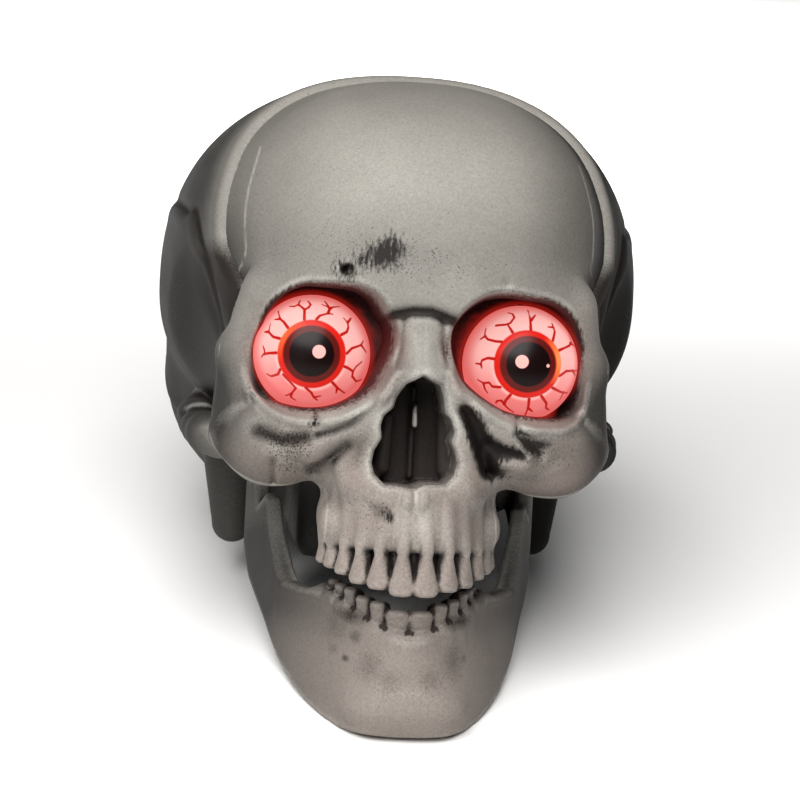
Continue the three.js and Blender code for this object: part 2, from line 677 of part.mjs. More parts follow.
// A contact plate that stands at one end of the bay; the rear ones have a solder tab through the roof.
const rearContactY = bayY + bayLength / 2 - fitGap - contactThickness;
const frontContactY = bayY - bayLength / 2 + fitGap;
function contactPlate(x0, x1, tabX, y) {
  const low = cellZ - contactHeight / 2;
  const high = cellZ + contactHeight / 2;
  const outline = [[x0, low], [x1, low], [x1, high]];
  if (tabX !== null) {
    const [a, b] = [tabX - contactTabWidth / 2, tabX + contactTabWidth / 2];
    const tip = roofTop + contactTabRise;
    outline.push([b, high], [b, tip], [a, tip], [a, high]);
  }
  outline.push([x0, high]);
  return frontExtrusion(outline, y, y + contactThickness);
}

// A coil contact: an open helix that narrows from its foot on the plate to its tip at the cell.
class CoilPath extends THREE.Curve {
  constructor(x, z, footY, tipY) {
    super();
    this.from = new THREE.Vector3(x, footY, z);
    this.rise = tipY - footY;
  }
  getPoint(t, target = new THREE.Vector3()) {
    const angle = t * coilTurns * 2 * Math.PI;
    const radius = THREE.MathUtils.lerp(coilFootRadius, coilTipRadius, t);
    return target.set(radius * Math.cos(angle), this.rise * t, radius * Math.sin(angle)).add(this.from);
  }
}

function tube(path, radius, steps, sides) {
  const ring = new THREE.Shape();
  for (let i = 0; i < sides; i++) {
    const angle = (2 * Math.PI * i) / sides;
    if (i) ring.lineTo(radius * Math.cos(angle), radius * Math.sin(angle));
    else ring.moveTo(radius, 0);
  }
  return solid(new THREE.ExtrudeGeometry(ring, { steps, extrudePath: path, bevelEnabled: false }));
}

function lead(points) {
  const path = new THREE.CatmullRomCurve3(points.map((p) => new THREE.Vector3(...p)));
  return tube(path, leadRadius, leadStepsPerSpan * (points.length - 1), leadSides);
}

// A pan-head screw along an axis, its head's underside at one place and its tip at another.
function screw(axis, seat, tip, head, headThickness, shank, segments = screwSegments) {
  const way = Math.sign(tip - seat);
  const shaft = solid(rod(axis, shank, seat - way * headThickness / 2, tip, segments));
  return shaft.add(solid(rod(axis, head, seat - way * headThickness, seat, segments)));
}

// Assembly
const finishes = {
  bone: { color: 0x9b9890, roughness: 0.55, metalness: 0 },
  eye: { color: 0xf2b8b4, roughness: 0.15, metalness: 0 },
  black: { color: 0x1c1b1b, roughness: 0.5, metalness: 0 },
  grey: { color: 0x4a4a4e, roughness: 0.5, metalness: 0 },
  steel: { color: 0xb5b7ba, roughness: 0.3, metalness: 1 },
  cell: { color: 0x2f4a3a, roughness: 0.3, metalness: 0.2 },
  board: { color: 0x1f5a38, roughness: 0.45, metalness: 0 },
  red: { color: 0xc2231c, roughness: 0.2, metalness: 0 },
};
const figure = new THREE.Group();

function piece(name, body, finish, place = [0, 0, 0]) {
  const mesh = new THREE.Mesh(geometryOf(body), new THREE.MeshStandardMaterial(finishes[finish]));
  mesh.name = name;
  mesh.position.set(...place);
  figure.add(mesh);
}

// The lean at which the lowest points of jaw and rear shell are level, and the floor that cuts a flat
// on each of them.
function standing(jaw, rear) {
  const lowest = (body, lean) => {
    const { vertProperties } = body.getMesh();
    let low = Infinity;
    for (let i = 0; i < vertProperties.length; i += 3) {
      low = Math.min(low, vertProperties[i + 2] * Math.cos(lean) - vertProperties[i + 1] * Math.sin(lean));
    }
    return low;
  };
  let [small, large] = [0, steepestLean];
  for (let step = 0; step < halvings; step++) {
    const lean = (small + large) / 2;
    if (lowest(jaw, lean) < lowest(rear, lean)) small = lean;
    else large = lean;
  }
  const floor = lowest(rear, small) + standFlat;
  const ground = new THREE.BoxGeometry(2 * beyond, 2 * beyond, beyond).translate(0, 0, -beyond / 2);
  ground.rotateX(small).translate(0, -Math.sin(small) * floor, Math.cos(small) * floor);
  return { lean: small, floor, ground: solid(ground) };
}

const { face, rear } = makeShells();
const jaw = makeJaw();
const { lean, floor, ground } = standing(jaw, rear);
piece("face_shell", face, "bone");
piece("rear_shell", rear.subtract(ground), "bone");
piece("jaw", jaw.subtract(ground), "bone");

for (const [side, label] of [[-1, "left"], [1, "right"]]) {
  const at = (geometry) => solid(geometry.translate(side * eyeX, eyeY, eyeZ));
  const neckAngle = Math.asin(neckRadius / eyeRadius);
  const boreAngle = Math.asin((neckRadius - neckWall) / (eyeRadius - eyeWall));
  const arc = (radius, start, end, count) => Array.from({ length: count + 1 }, (_, i) => {
    const angle = THREE.MathUtils.lerp(start, end, i / count);
    return [radius * Math.sin(angle), radius * Math.cos(angle)];
  });
  const neckEnd = eyeRadius + neckLength;
  const ball = [
    ...arc(eyeRadius, Math.PI, neckAngle, 8), [neckRadius, neckEnd], [neckRadius - neckWall, neckEnd],
    ...arc(eyeRadius - eyeWall, boreAngle, Math.PI, 5),
  ];
  piece("eyeball_" + label, at(turned(ball)), "eye");
  const wallBack = eyeRadius + socketClearance + shellWall;
  const flangeY = Math.max(neckEnd, wallBack) + fitGap;
  const plugRadius = neckRadius - neckWall - fitGap;
  const cup = [
    [ledRadius + fitGap, flangeY - cupPlugLength], [plugRadius, flangeY - cupPlugLength],
    [plugRadius, flangeY], [cupFlangeRadius, flangeY], [cupFlangeRadius, flangeY + cupFlangeThickness],
    [ledRadius + fitGap, flangeY + cupFlangeThickness], [ledRadius + fitGap, flangeY - cupPlugLength],
  ];
  piece("eye_cup_" + label, at(turned(cup)), "black");
  const ledBack = flangeY + cupFlangeThickness + fitGap + ledFlangeThickness;
  const ledFront = ledBack - ledLength;
  const led = [
    ...arc(ledRadius, Math.PI, Math.PI / 2, 3).map(([out, along]) => [out, ledFront + ledRadius + along]),
    [ledRadius, ledBack - ledFlangeThickness], [ledFlangeRadius, ledBack - ledFlangeThickness],
    [ledFlangeRadius, ledBack], [0, ledBack],
  ];
  piece("led_" + label, at(turned(led, screwSegments)), "red");
  const start = eyeY + ledBack + fitGap;
  piece("eye_lead_" + label, lead([
    [side * eyeX, start, eyeZ],
    ...eyeLeadBend.map(([x, y, z]) => [side * x, start + y, z]),
    ...eyeLeadLanding.map(([x, y, z]) => [side * x, boardY - eyeLandingY + y, leadZ + z]),
  ]), "red");
  const toX = (value) => side * value;
  const washerX = lugEndX + fitGap;
  const disc = rod("x", washerRadius, toX(washerX), toX(washerX + washerThickness), hingeSegments);
  const hole = rod("x", pivotRadius + fitGap, toX(washerX - rootDepth), toX(lugEndX + hingeEyeWidth));
  const pivotPlace = [0, pivotY, pivotZ];
  piece("pivot_washer_" + label, solid(disc).subtract(solid(hole)), "steel", pivotPlace);
  const pivot = screw("x", toX(pivotHeadX), toX(pivotEndX), pivotHeadRadius, pivotHeadThickness, pivotRadius);
  piece("pivot_screw_" + label, pivot, "steel", pivotPlace);
}

piece("base_plate", makeBasePlate(), "grey");
baseScrewPlaces.forEach(([x, y], i) => {
  const tip = plateTop + screwLength - rootDepth;
  const made = screw("z", plateBottom - fitGap, tip, screwHeadRadius, screwHeadThickness, screwRadius);
  piece("base_screw_" + (i + 1), made, "steel", [x, y, 0]);
});
const doorHole = rod("z", screwRadius + fitGap, plateBottom - rootDepth, doorTop + rootDepth);
const doorSlab = box(-doorHalf, doorHalf, bayY - doorHalfLength, bayY + doorHalfLength, plateBottom, doorTop);
piece("battery_door", doorSlab.subtract(solid(doorHole.translate(0, doorScrewY, 0))), "grey");
const doorScrew = screw("z", plateBottom - fitGap, plateBottom + doorScrewLength, screwHeadRadius,
  screwHeadThickness, screwRadius);
piece("door_screw", doorScrew, "steel", [0, doorScrewY, 0]);

// Cells lie side by side, the left one with its nub to the rear and the right one with its nub to the front.
for (const [side, label] of [[-1, "left"], [1, "right"]]) {
  const x = (side * cellSpacing) / 2;
  const nubWay = -side;
  const nubTip = side < 0 ? rearContactY - fitGap : frontContactY + contactThickness + fitGap;
  const shoulder = nubTip - nubWay * nubLength;
  const foot = nubTip - nubWay * cellLength;
  const can = solid(rod("y", cellRadius, shoulder, foot, turnSegments));
  const nub = solid(rod("y", nubRadius, shoulder - nubWay * rootDepth, nubTip));
  piece("cell_" + label, can.add(nub), "cell", [x, 0, cellZ]);
  const coilFoot = foot - nubWay * (fitGap + coilLength - coilWireRadius);
  const path = new CoilPath(x, cellZ, coilFoot, foot - nubWay * (fitGap + coilWireRadius));
  const coil = tube(path, coilWireRadius, coilStepsPerTurn * coilTurns, coilSides);
  piece(side < 0 ? "coil_contact_front" : "coil_contact_rear", coil, "steel");
}
const contactX = cellSpacing / 2;
const wide = contactWidth / 2;
piece("contact_bridge", contactPlate(-contactX - wide, contactX + wide, null, frontContactY), "steel");
piece("contact_plus", contactPlate(-contactX - wide, -contactX + wide, -contactX, rearContactY), "steel");
piece("contact_minus", contactPlate(contactX - wide, contactX + wide, contactX, rearContactY), "steel");

// Board, switch and their leads
piece("circuit_board", box(-boardWidth / 2, boardWidth / 2, boardY - boardLength / 2,
  boardY + boardLength / 2, boardBottom, boardTop), "board");
const bodyBottom = plateTop + fitGap;
const knobTop = bodyBottom + knobReach;
const pocketSide = knobWidth / 2 + fitGap;
const pocket = box(switchX - pocketSide, switchX + pocketSide, switchY - slotHalf, switchY + slotHalf,
  bodyBottom - rootDepth, knobTop + fitGap);
const housing = box(switchX - switchWidth / 2, switchX + switchWidth / 2, switchY - switchLength / 2,
  switchY + switchLength / 2, bodyBottom, bodyBottom + switchHeight);
piece("switch_body", housing.subtract(pocket), "black");
const knobY = switchY + knobTravel / 2;
piece("switch_knob", box(switchX - knobWidth / 2, switchX + knobWidth / 2, knobY - knobLength / 2,
  knobY + knobLength / 2, plateBottom - knobRise, knobTop), "black");
const switchTop = bodyBottom + switchHeight + fitGap;
const boardEdge = boardWidth / 2;
piece("switch_lead", lead([
  [switchX, switchY, switchTop],
  ...switchLeadBow.map(([x, y, z]) => [switchX - x, switchY - y, switchTop + z]),
  [boardEdge - rootDepth, switchY - switchLandingY, leadZ + leadRadius],
  [boardEdge - landing, switchY - switchLandingY, leadZ],
]), "black");
for (const [side, name] of [[-1, "battery_lead_plus"], [1, "battery_lead_minus"]]) {
  const tabY = rearContactY - fitGap - leadRadius;
  const tabZ = roofTop + contactTabRise - leadRadius;
  const boardRear = boardY + boardLength / 2;
  piece(name, lead([
    [side * contactX, tabY, tabZ],
    [side * contactX, tabY - batteryLeadBow, tabZ + 2 * leadRadius],
    [side * contactX, boardRear, leadZ + leadRadius],
    [side * contactX, boardRear - landing, leadZ],
  ]), side < 0 ? "red" : "black");
}

// Lean the figure onto its chin and heel, with the middle of its outline over the origin.
const assembly = new THREE.Group();
assembly.add(figure);
figure.rotation.x = -lean;
figure.position.z = -floor;
const reach = new THREE.Box3().setFromObject(assembly, true);
figure.position.y = -(reach.min.y + reach.max.y) / 2;

export default assembly;
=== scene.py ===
"""A life-size moulded skull decoration with lit bloodshot eyes and a hinged jaw, dressed over its CAD frame.

The bones are worked out in the skull's own upright frame, in millimetres, with the ear holes on the X axis and the
face towards -Y. They are then leaned back, in metres, onto the frame that the CAD model stands in.
"""

import json
import math

import bpy
import numpy as np
from mathutils import Matrix, Vector


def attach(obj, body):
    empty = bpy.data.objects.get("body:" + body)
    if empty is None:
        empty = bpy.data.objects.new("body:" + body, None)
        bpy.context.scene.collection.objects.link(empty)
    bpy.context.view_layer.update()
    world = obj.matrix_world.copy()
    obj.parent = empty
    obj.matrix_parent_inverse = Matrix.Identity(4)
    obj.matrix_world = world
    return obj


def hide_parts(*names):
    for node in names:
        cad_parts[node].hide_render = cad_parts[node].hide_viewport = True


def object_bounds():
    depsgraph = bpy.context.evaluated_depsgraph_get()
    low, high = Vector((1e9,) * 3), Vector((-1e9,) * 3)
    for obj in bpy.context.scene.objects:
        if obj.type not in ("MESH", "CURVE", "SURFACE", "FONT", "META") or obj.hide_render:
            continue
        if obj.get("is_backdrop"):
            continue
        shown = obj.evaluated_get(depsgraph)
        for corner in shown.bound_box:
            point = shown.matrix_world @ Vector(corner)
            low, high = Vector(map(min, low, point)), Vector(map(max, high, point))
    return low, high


bl_info = {
    "name": "Moulded skull decoration",
    "version": (1, 0, 0),
    "blender": (4, 5, 0),
    "location": "3D View > Sidebar > Skull",
    "description": "Builds a painted skull with lit eyes and a hinged jaw over its CAD frame",
    "category": "Add Mesh",
}

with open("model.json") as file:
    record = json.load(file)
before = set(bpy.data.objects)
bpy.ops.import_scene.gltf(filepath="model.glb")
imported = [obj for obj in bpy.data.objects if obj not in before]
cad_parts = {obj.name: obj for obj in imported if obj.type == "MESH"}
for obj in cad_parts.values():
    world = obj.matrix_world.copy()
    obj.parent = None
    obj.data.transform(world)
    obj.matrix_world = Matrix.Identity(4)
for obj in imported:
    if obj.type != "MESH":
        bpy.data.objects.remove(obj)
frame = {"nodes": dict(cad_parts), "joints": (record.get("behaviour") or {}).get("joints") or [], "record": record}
CAD_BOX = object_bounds()

MM = 0.001  # in metres
METRE = 1000  # in millimetres

PIVOT = (0.0, -13.0, -15.0)  # of the jaw, in the skull's own frame
# Radii round that pivot: the screw's hole, the jaw's hinge eye, the washer's seat in it, and the rear shell's lug
PIVOT_HOLE, HINGE_EYE, WASHER_SEAT, PIVOT_LUG = 2.2, 6.5, 4.3, 5.5
# Bosses for the screws of the base plate: their places, radius and bore
BOSS_X, BOSS_Y, BOSS_RADIUS, BOSS_BORE = 22.3, (-17.8, 45.8), 3.6, 1.5


def row_from_skull():
    """The matrix from the skull's upright frame, in metres, to the frame that the decoration stands in."""
    joints = {joint["name"]: joint for joint in frame["joints"]}
    axis = joints["switch_slide"]["axis"]
    turn = Matrix.Rotation(-math.atan2(-axis[2], axis[1]), 4, "X")
    place = Vector(joints["jaw_hinge"]["pos_m"]) - turn @ (Vector(PIVOT) * MM)
    return Matrix.Translation(place) @ turn


ROW = row_from_skull()


def linear(code):
    """An sRGB hex colour as linear red, green and blue."""
    values = [int(code[i:i + 2], 16) / 255 for i in (1, 3, 5)]
    return tuple(v / 12.92 if v <= 0.04045 else ((v + 0.055) / 1.055) ** 2.4 for v in values)


# Distance fields: millimetres to a surface, negative inside. A place p is three arrays, x, y and z. In the forms, q is
# that place mirrored to the right side, and s the body as far as it is made.

def join(a, b, blend):
    """Two bodies melted together over a width."""
    share = np.maximum(blend - np.abs(a - b), 0) / blend
    return np.minimum(a, b) - share * share * blend / 4


def cut(a, b, blend):
    """A body with another taken out of it, its new edge rounded over a width."""
    return -join(-a, b, blend)


def smoothstep(low, high, value):
    """A soft step from 0 at one value to 1 at the other, which may be the smaller one."""
    share = np.clip((value - low) / (high - low), 0, 1)
    return share * share * (3 - 2 * share)


def oval(p, centre, radii):
    """A ball stretched along each axis."""
    q = [(v - c) / r for v, c, r in zip(p, centre, radii)]
    near = np.sqrt(q[0] ** 2 + q[1] ** 2 + q[2] ** 2)
    slope = np.sqrt(sum((v / r) ** 2 for v, r in zip(q, radii)))
    return near * (near - 1) / np.maximum(slope, 1e-6)


def limb(p, start, end, start_radius, end_radius):
    """A straight rod with round ends that tapers."""
    along = [b - a for a, b in zip(start, end)]
    reach = [v - a for v, a in zip(p, start)]
    share = sum(r * a for r, a in zip(reach, along)) / sum(a * a for a in along)
    share = np.clip(share, 0, 1)
    off = [r - share * a for r, a in zip(reach, along)]
    return np.sqrt(off[0] ** 2 + off[1] ** 2 + off[2] ** 2) - start_radius - share * (end_radius - start_radius)


def block(p, centre, half, rounding):
    """A box with rounded edges."""
    q = [np.abs(v - c) - h + rounding for v, c, h in zip(p, centre, half)]
    outside = np.sqrt(sum(np.maximum(v, 0) ** 2 for v in q))
    return outside + np.minimum(np.maximum(np.maximum(q[0], q[1]), q[2]), 0) - rounding


def squared_oval(offsets, reaches, squareness):
    """An oval, flat or solid, with fuller corners than an ellipse has when its squareness is over 2."""
    size = sum(np.abs(v / r) ** squareness for v, r in zip(offsets, reaches))
    length = np.sqrt(sum(v ** 2 for v in offsets))
    return length * (1 - np.maximum(size, 1e-4) ** (-1 / squareness))


def both(a, b, rounding):
    """What two bodies share, with a rounded edge."""
    a, b = a + rounding, b + rounding
    outside = np.sqrt(np.maximum(a, 0) ** 2 + np.maximum(b, 0) ** 2)
    return outside + np.minimum(np.maximum(a, b), 0) - rounding


def post(p, centre_y, half_width, depth, bottom, top, rounding):
    """An upright post whose plan is an oval that points to the front."""
    plan = squared_oval((p[0], p[1] - centre_y), (half_width, depth), 2.0)
    return both(plan, np.abs(p[2] - (bottom + top) / 2) - (top - bottom) / 2, rounding)


def to_line(u, v, points):
    """Distance to an open flat line."""
    near = np.float32(1e9)
    for (u0, v0), (u1, v1) in zip(points, points[1:]):
        du, dv = u1 - u0, v1 - v0
        share = np.clip(((u - u0) * du + (v - v0) * dv) / (du * du + dv * dv), 0, 1)
        near = np.minimum(near, (u - u0 - share * du) ** 2 + (v - v0 - share * dv) ** 2)
    return np.sqrt(near)


def outline(u, v, points):
    """Distance to a closed flat outline."""
    inside = np.zeros(np.broadcast(u, v).shape, bool)
    closed = points + points[:1]
    for (u0, v0), (u1, v1) in zip(closed, closed[1:]):
        if v0 != v1:
            crosses = ((v0 <= v) & (v < v1)) | ((v1 <= v) & (v < v0))
            inside ^= crosses & (u < u0 + (v - v0) / (v1 - v0) * (u1 - u0))
    return np.where(inside, -1, 1) * to_line(u, v, closed)


def softened(points, closed=True):
    """A line with its corners cut twice."""
    for _ in range(2):
        pairs = list(zip(points, points[1:] + points[:1] if closed else points[1:]))
        cuts = [tuple(a + (b - a) * share for a, b in zip(*pair)) for pair in pairs for share in (0.25, 0.75)]
        points = cuts if closed else [points[0], *cuts[1:-1], points[-1]]
    return points


def kept_flat(field, low, high, *shapes, step=0.3):
    """A flat field worked out once on a grid, to be read back between the grid's points."""
    sides = [np.arange(a, b + step, step, dtype=np.float32) for a, b in zip(low, high)]
    grid = np.asarray(field(sides[0][:, None], sides[1][None, :], *shapes), np.float32)

    def read(u, v):
        u = np.clip((u - low[0]) / step, 0, len(sides[0]) - 1.01)
        v = np.clip((v - low[1]) / step, 0, len(sides[1]) - 1.01)
        i, j = u.astype(np.int32), v.astype(np.int32)
        u, v = u - i, v - j
        near = grid[i, j] * (1 - u) + grid[i + 1, j] * u
        far = grid[i, j + 1] * (1 - u) + grid[i + 1, j + 1] * u
        return near * (1 - v) + far * v

    return read


# Forms of the skull, in millimetres
# The seam seen from the side, as (y, z)
SEAM = [(-6, 120), (-17, 103), (-29, 88), (-40.5, 70), (-46.5, 56), (-50, 48), (-60, 36), (-54, 22), (-53, -10),
        (-56, -22), (-60, -36), (-60, -60)]
# The nose hole and the mouths of the left and right socket seen from the front, as (x, z)
NOSE = [(-0.5, 14.6), (-4.8, 12), (-7, 8.3), (-7.7, 5.4), (-10.2, 3.2), (-11, 0.3), (-10.4, -3), (-12.3, -6.4),
        (-12.7, -9.8), (-11.9, -13), (-8.9, -15.8), (-5.7, -15.9), (-1.1, -16.5), (1.6, -15.2), (7.6, -15),
        (9.8, -12.4), (10.5, -9.1), (9.6, -5.7), (8.4, -3.3), (9.3, -0.4), (7.9, 3.2), (6.3, 4.4), (5.9, 7.6),
        (4.6, 12)]
SOCKETS = {
    -1: softened([(-44.2, 29.6), (-41.5, 33.6), (-37.6, 36.7), (-32.8, 38.6), (-28.8, 38.4), (-19.9, 38.2),
                  (-15.8, 36.6), (-12.9, 34.2), (-11, 30.6), (-8.9, 29.5), (-7.2, 24), (-8.8, 18.3), (-11.1, 13.5),
                  (-12.5, 9.7), (-17.2, 6.1), (-22.8, 3.6), (-28, 2.6), (-33.2, 2.4), (-38.9, 3.9), (-42.6, 7.2),
                  (-44.8, 11.1), (-45.9, 15.4), (-46.2, 20.5), (-45.5, 24.9)]),
    1: softened([(7.8, 28.3), (10.9, 32.6), (14.5, 35.7), (18.4, 37.5), (23.8, 38.2), (29.3, 37.7), (34, 37.5),
                 (38.8, 36.3), (42.9, 33.3), (45.3, 29.6), (47, 25.3), (47.5, 21.9), (47.3, 16.6), (46.9, 11.7),
                 (46.3, 6.9), (42.1, 3.3), (37.3, 3), (31.9, 3.1), (24.8, 4.1), (20.2, 6.4), (14.8, 9.7),
                 (11.1, 12.9), (9.2, 17), (7.4, 22.8)]),
}
# The right cheek arch along its middle
ARCH = [(46, -61, -10), (50.6, -54.6, -8.8), (54.5, -48, -8), (57, -39, -6.4), (58.5, -30, -5), (59.4, -19, -3.9),
        (59, -8, -3), (57.6, 0, -2.4), (55, 6, -2), (44, 14, -2)]
# The raised plate on each side seen from the side, as (y, z)
SQUAMA = softened([(-47, 22), (-46, 30), (-45.1, 35), (-43.6, 42), (-37.8, 49.2), (-31, 56.4), (-27, 57.8), (-24.6, 56),
                   (-13.6, 59), (0, 61), (14, 60), (30, 53), (40, 42), (45, 28), (40, 6), (20, -8), (-20, -2),
                   (-42, 4), (-48, 14)])
# The line that the mould left round the face seen from the front, as (distance from the middle, z)
MOULD_LINE = softened([(46, 76.4), (49.8, 61.4), (49.5, 49.3), (48.6, 45.2), (54.6, 32.2), (55.7, 12.5), (58.2, -0.3),
                       (55.5, -10), (49, -15.4), (41.3, -18.7), (25.5, -17.7), (23, -20), (24, -30),
                       (23.4, -37)], closed=False)
# Grooves and ridges of the face, seen from the front as (x, z): depth, width and line. A ridge has a negative depth.
FACE_LINES = [
    # Below the left socket: a notch, the groove beside it, a pitted valley and two creases
    (1.4, 0.8, [(-28.6, 4), (-28, -0.4)]),
    (1.4, 1.2, [(-27.5, -3.2), (-23.1, -1.7), (-18.7, 0.6), (-15.2, 3.8), (-12.9, 6.8)]),
    (1.5, 2.6, [(-43.5, -3.6), (-37.4, -5.6), (-31, -4)]),
    (1.3, 2.0, [(-27.3, -12.7), (-23, -9), (-19.2, -5.7)]),
    (0.9, 1.0, [(-38.8, -11.5), (-38.7, -17)]),
    (-1.0, 4.0, [(-44, -10.8), (-42.5, -10.8)]),
    # Below the right socket: a notch, a deep wedge with an arm, and a pointed ridge with a hollow beside it
    (1.3, 0.8, [(27.9, 4), (27.1, 0.1)]),
    (2.6, 2.4, [(12.2, 5.5), (15.4, 0.3), (17.6, -6), (19.8, -11.4)]),
    (1.9, 1.8, [(19.2, -3), (23.8, -5.4), (29, -6.3)]),
    (1.5, 1.7, [(28.4, -0.9), (31.1, -2.6), (34, -5.6)]),
    (-1.1, 1.0, [(25.3, 0.1), (27.9, -3.1), (31.3, -6.8)]),
    # Root of the nose: a crease across it, the edges of its two bones, and the seam between them
    (2.0, 1.6, [(-9, 30.4), (-4, 31.6), (1, 31.7), (7.4, 29.6)]),
    (0.8, 1.0, [(-6.3, 29.5), (-6.3, 23.5), (-7.4, 16.5)]),
    (0.8, 1.0, [(4.4, 29.5), (5, 24.5), (6.4, 17)]),
    (0.35, 0.5, [(-1, 28.5), (-0.6, 15)]),
]
# Brown paint brushed on the face with a hairy edge, seen from the front as (x, z)
STAINS = [softened(line) for line in (
    [(11.2, 7.1), (13.1, 6.9), (15, 5.5), (16.6, 3.8), (18.1, 1.9), (19.7, -0.7), (21.5, -2.8), (23.9, -3.7),
     (26.7, -4.2), (29.4, -5.2), (28.8, -6.6), (26.5, -7.7), (24.4, -8.2), (22.5, -8.1), (23.2, -9.8), (25.1, -11.7),
     (27.6, -13.4), (24.5, -13.7), (20.6, -12.7), (18.3, -12.3), (17, -11.6), (15.9, -8.1), (14.4, -5.1),
     (12.6, -1.7), (11.5, 1.7), (10.9, 4.7)],
    [(-27.9, 2.6), (-27.3, 1.8), (-28.2, 0.3), (-28.9, -0.9), (-29.7, -1.3), (-30.2, -0.6), (-29.4, 0.9), (-28.7, 1.8)],
    [(-20.4, 45.4), (-18.4, 46), (-16.4, 47.9), (-14.5, 49.6), (-12.2, 50.8), (-9.9, 51.4), (-8.4, 50.6), (-8.6, 48.4),
     (-8, 47.1), (-8.8, 45.6), (-10.2, 44.5), (-11.6, 43.6), (-13.7, 43.2), (-15.5, 43.8), (-18, 44.2)],
    [(-24.6, 42.7), (-23.8, 43.7), (-22.4, 44.1), (-21, 43.6), (-20.5, 42), (-21.2, 40.3), (-22.3, 40), (-23.7, 41.1)],
    [(-9.4, -22.4), (-8.1, -22.1), (-6.4, -23.2), (-6, -24.9), (-6.4, -26.5), (-7.8, -25.4), (-8.8, -24.2)])]
# Softer smears of the same paint, some of them painted shade below the sockets and beside the nose: strength, width
# of the soft edge, and outline
SMEARS_AND_SHADE = [
    (0.95, 2.0, [(26, -0.2), (29, -1.2), (35.1, -2), (37.3, -3), (32.9, -5.5), (31.7, -6.5), (28.8, -4.3)]),
    (0.4, 5.0, [(-20, -4), (-14, 0), (-13, -8), (-18, -12)]),
    (0.4, 4.0, [(14, -12), (22, -14), (22, -20), (16, -19)]),
    (0.62, 2.0, [(-43.9, -3.2), (-37.4, -4.2), (-29.6, -2.8), (-31.4, -4.8), (-37.1, -7.8), (-42.2, -5.8)]),
    (0.5, 1.4, [(-29.5, -5.7), (-24, -1.7), (-17.5, 1.7), (-12.8, 7), (-12.3, 6.2), (-16, 1.1), (-23.2, -3.6)]),
    (0.6, 1.4, [(-24.4, -11.2), (-20, -5.7), (-18.2, -5.6), (-22, -9.8)]),
    (0.5, 5.0, [(-15, 45), (-9, 50), (-5, 49), (-9, 43)]),
    (0.5, 2.5, [(-14, -20), (-7, -21), (-7, -26), (-11, -25)]),
    (0.62, 1.8, [(-9.5, 31), (-4, 32.4), (3, 32.2), (8, 30), (3, 31), (-4, 31)]),
    (0.45, 3.0, [(7, 27), (10, 14), (12, 8), (9.5, 10), (6.5, 20)]),
]
# The right eyeball: its middle, its radius and wall, and its neck: degrees from its axis and distance of its end
EYE = (29.4, -64.0, 18.6)
EYE_RADIUS, EYE_WALL, NECK_ANGLE, NECK_END = 16.4, 1.6, 27, 24.4
# A row of teeth: the oval that it follows, widths from the middle tooth outwards, heights of root, gum and crown, half
# widths as shares of the width at the neck and the crown, how much root and crown rise from tooth to tooth, and how far
# from the teeth and from what height out of the gum it is stained
UPPER = {
    "half": 26.6, "front": -93.0, "depth": 35, "widths": (7.8, 7.4, 7.0, 7.2, 7.5, 8.0),
    "root": -31.0, "gum": -34.4, "crown": -45.7, "neck": 0.19, "broad": 0.475,
    "root_rises": (0, 0, 0, 0, 0, 0), "crown_rises": (0, 1.4, 2.3, 4.1, 5.2, 5.8),
    "stained": 5.0, "stain_from": -0.6,
}
LOWER = {
    "half": 22.5, "front": -86.6, "depth": 35, "widths": (8.0, 5.9, 6.1, 6.5, 6.8, 7.2),
    "root": -60.5, "gum": -57.6, "crown": -50.1, "neck": 0.32, "broad": 0.465,
    "root_rises": (0, 2.1, 4.2, 6.6, 8.4, 9.4), "crown_rises": (0, 1.9, 2.8, 4.5, 4.9, 5.2),
    "stained": 3.0, "stain_from": -0.2,
}
# All teeth: where a shield starts to broaden and over how much of its height, its rounding as a share of its width, how
# far its middle lies behind the row's oval, how much further its root and its sides lie back, half its thickness, and
# the rounding of its rim
BROADENS_FROM, BROADENS_OVER, SHIELD_ROUNDING = 0.2, 0.62, 0.28
TOOTH_MIDDLE, ROOT_SET_BACK, TOOTH_BOW, HALF_TOOTH, TOOTH_RIM = 2.4, 1.3, 1.3, 1.9, 1.1
# The jaw seen from the side, as (y, z)
JAW_UNDER = [(-84, -84), (-77, -84.2), (-71, -82.6), (-62, -78.8), (-46, -71), (-16, -51), (-6, -41)]
JAW_TOP = [(-6, -14), (-10, -8.5), (-18, -10), (-22, -27), (-28, -23.5), (-32, -25), (-36, -35), (-41, -43),
           (-46, -47.4), (-53, -48.3), (-64, -48.4), (-70, -49.4), (-76, -51.6), (-81, -54), (-86, -56.8), (-92, -58.2)]


def tooth_places(row):
    """Middle, turn and width of each tooth on one side of a row, by arc length along its oval."""
    angle = np.linspace(0, math.pi / 2, 400)
    x, y = row["half"] * np.sin(angle), row["front"] + row["depth"] * (1 - np.cos(angle))
    run = np.concatenate([[0], np.cumsum(np.hypot(np.diff(x), np.diff(y)))])
    places, edge = [], 0
    for width in row["widths"]:
        at = np.interp(edge + width / 2, run, angle)
        turn = math.atan2(row["depth"] * math.sin(at), row["half"] * math.cos(at))
        places.append((row["half"] * math.sin(at), row["front"] + row["depth"] * (1 - math.cos(at)), turn, width))
        edge += width
    return places


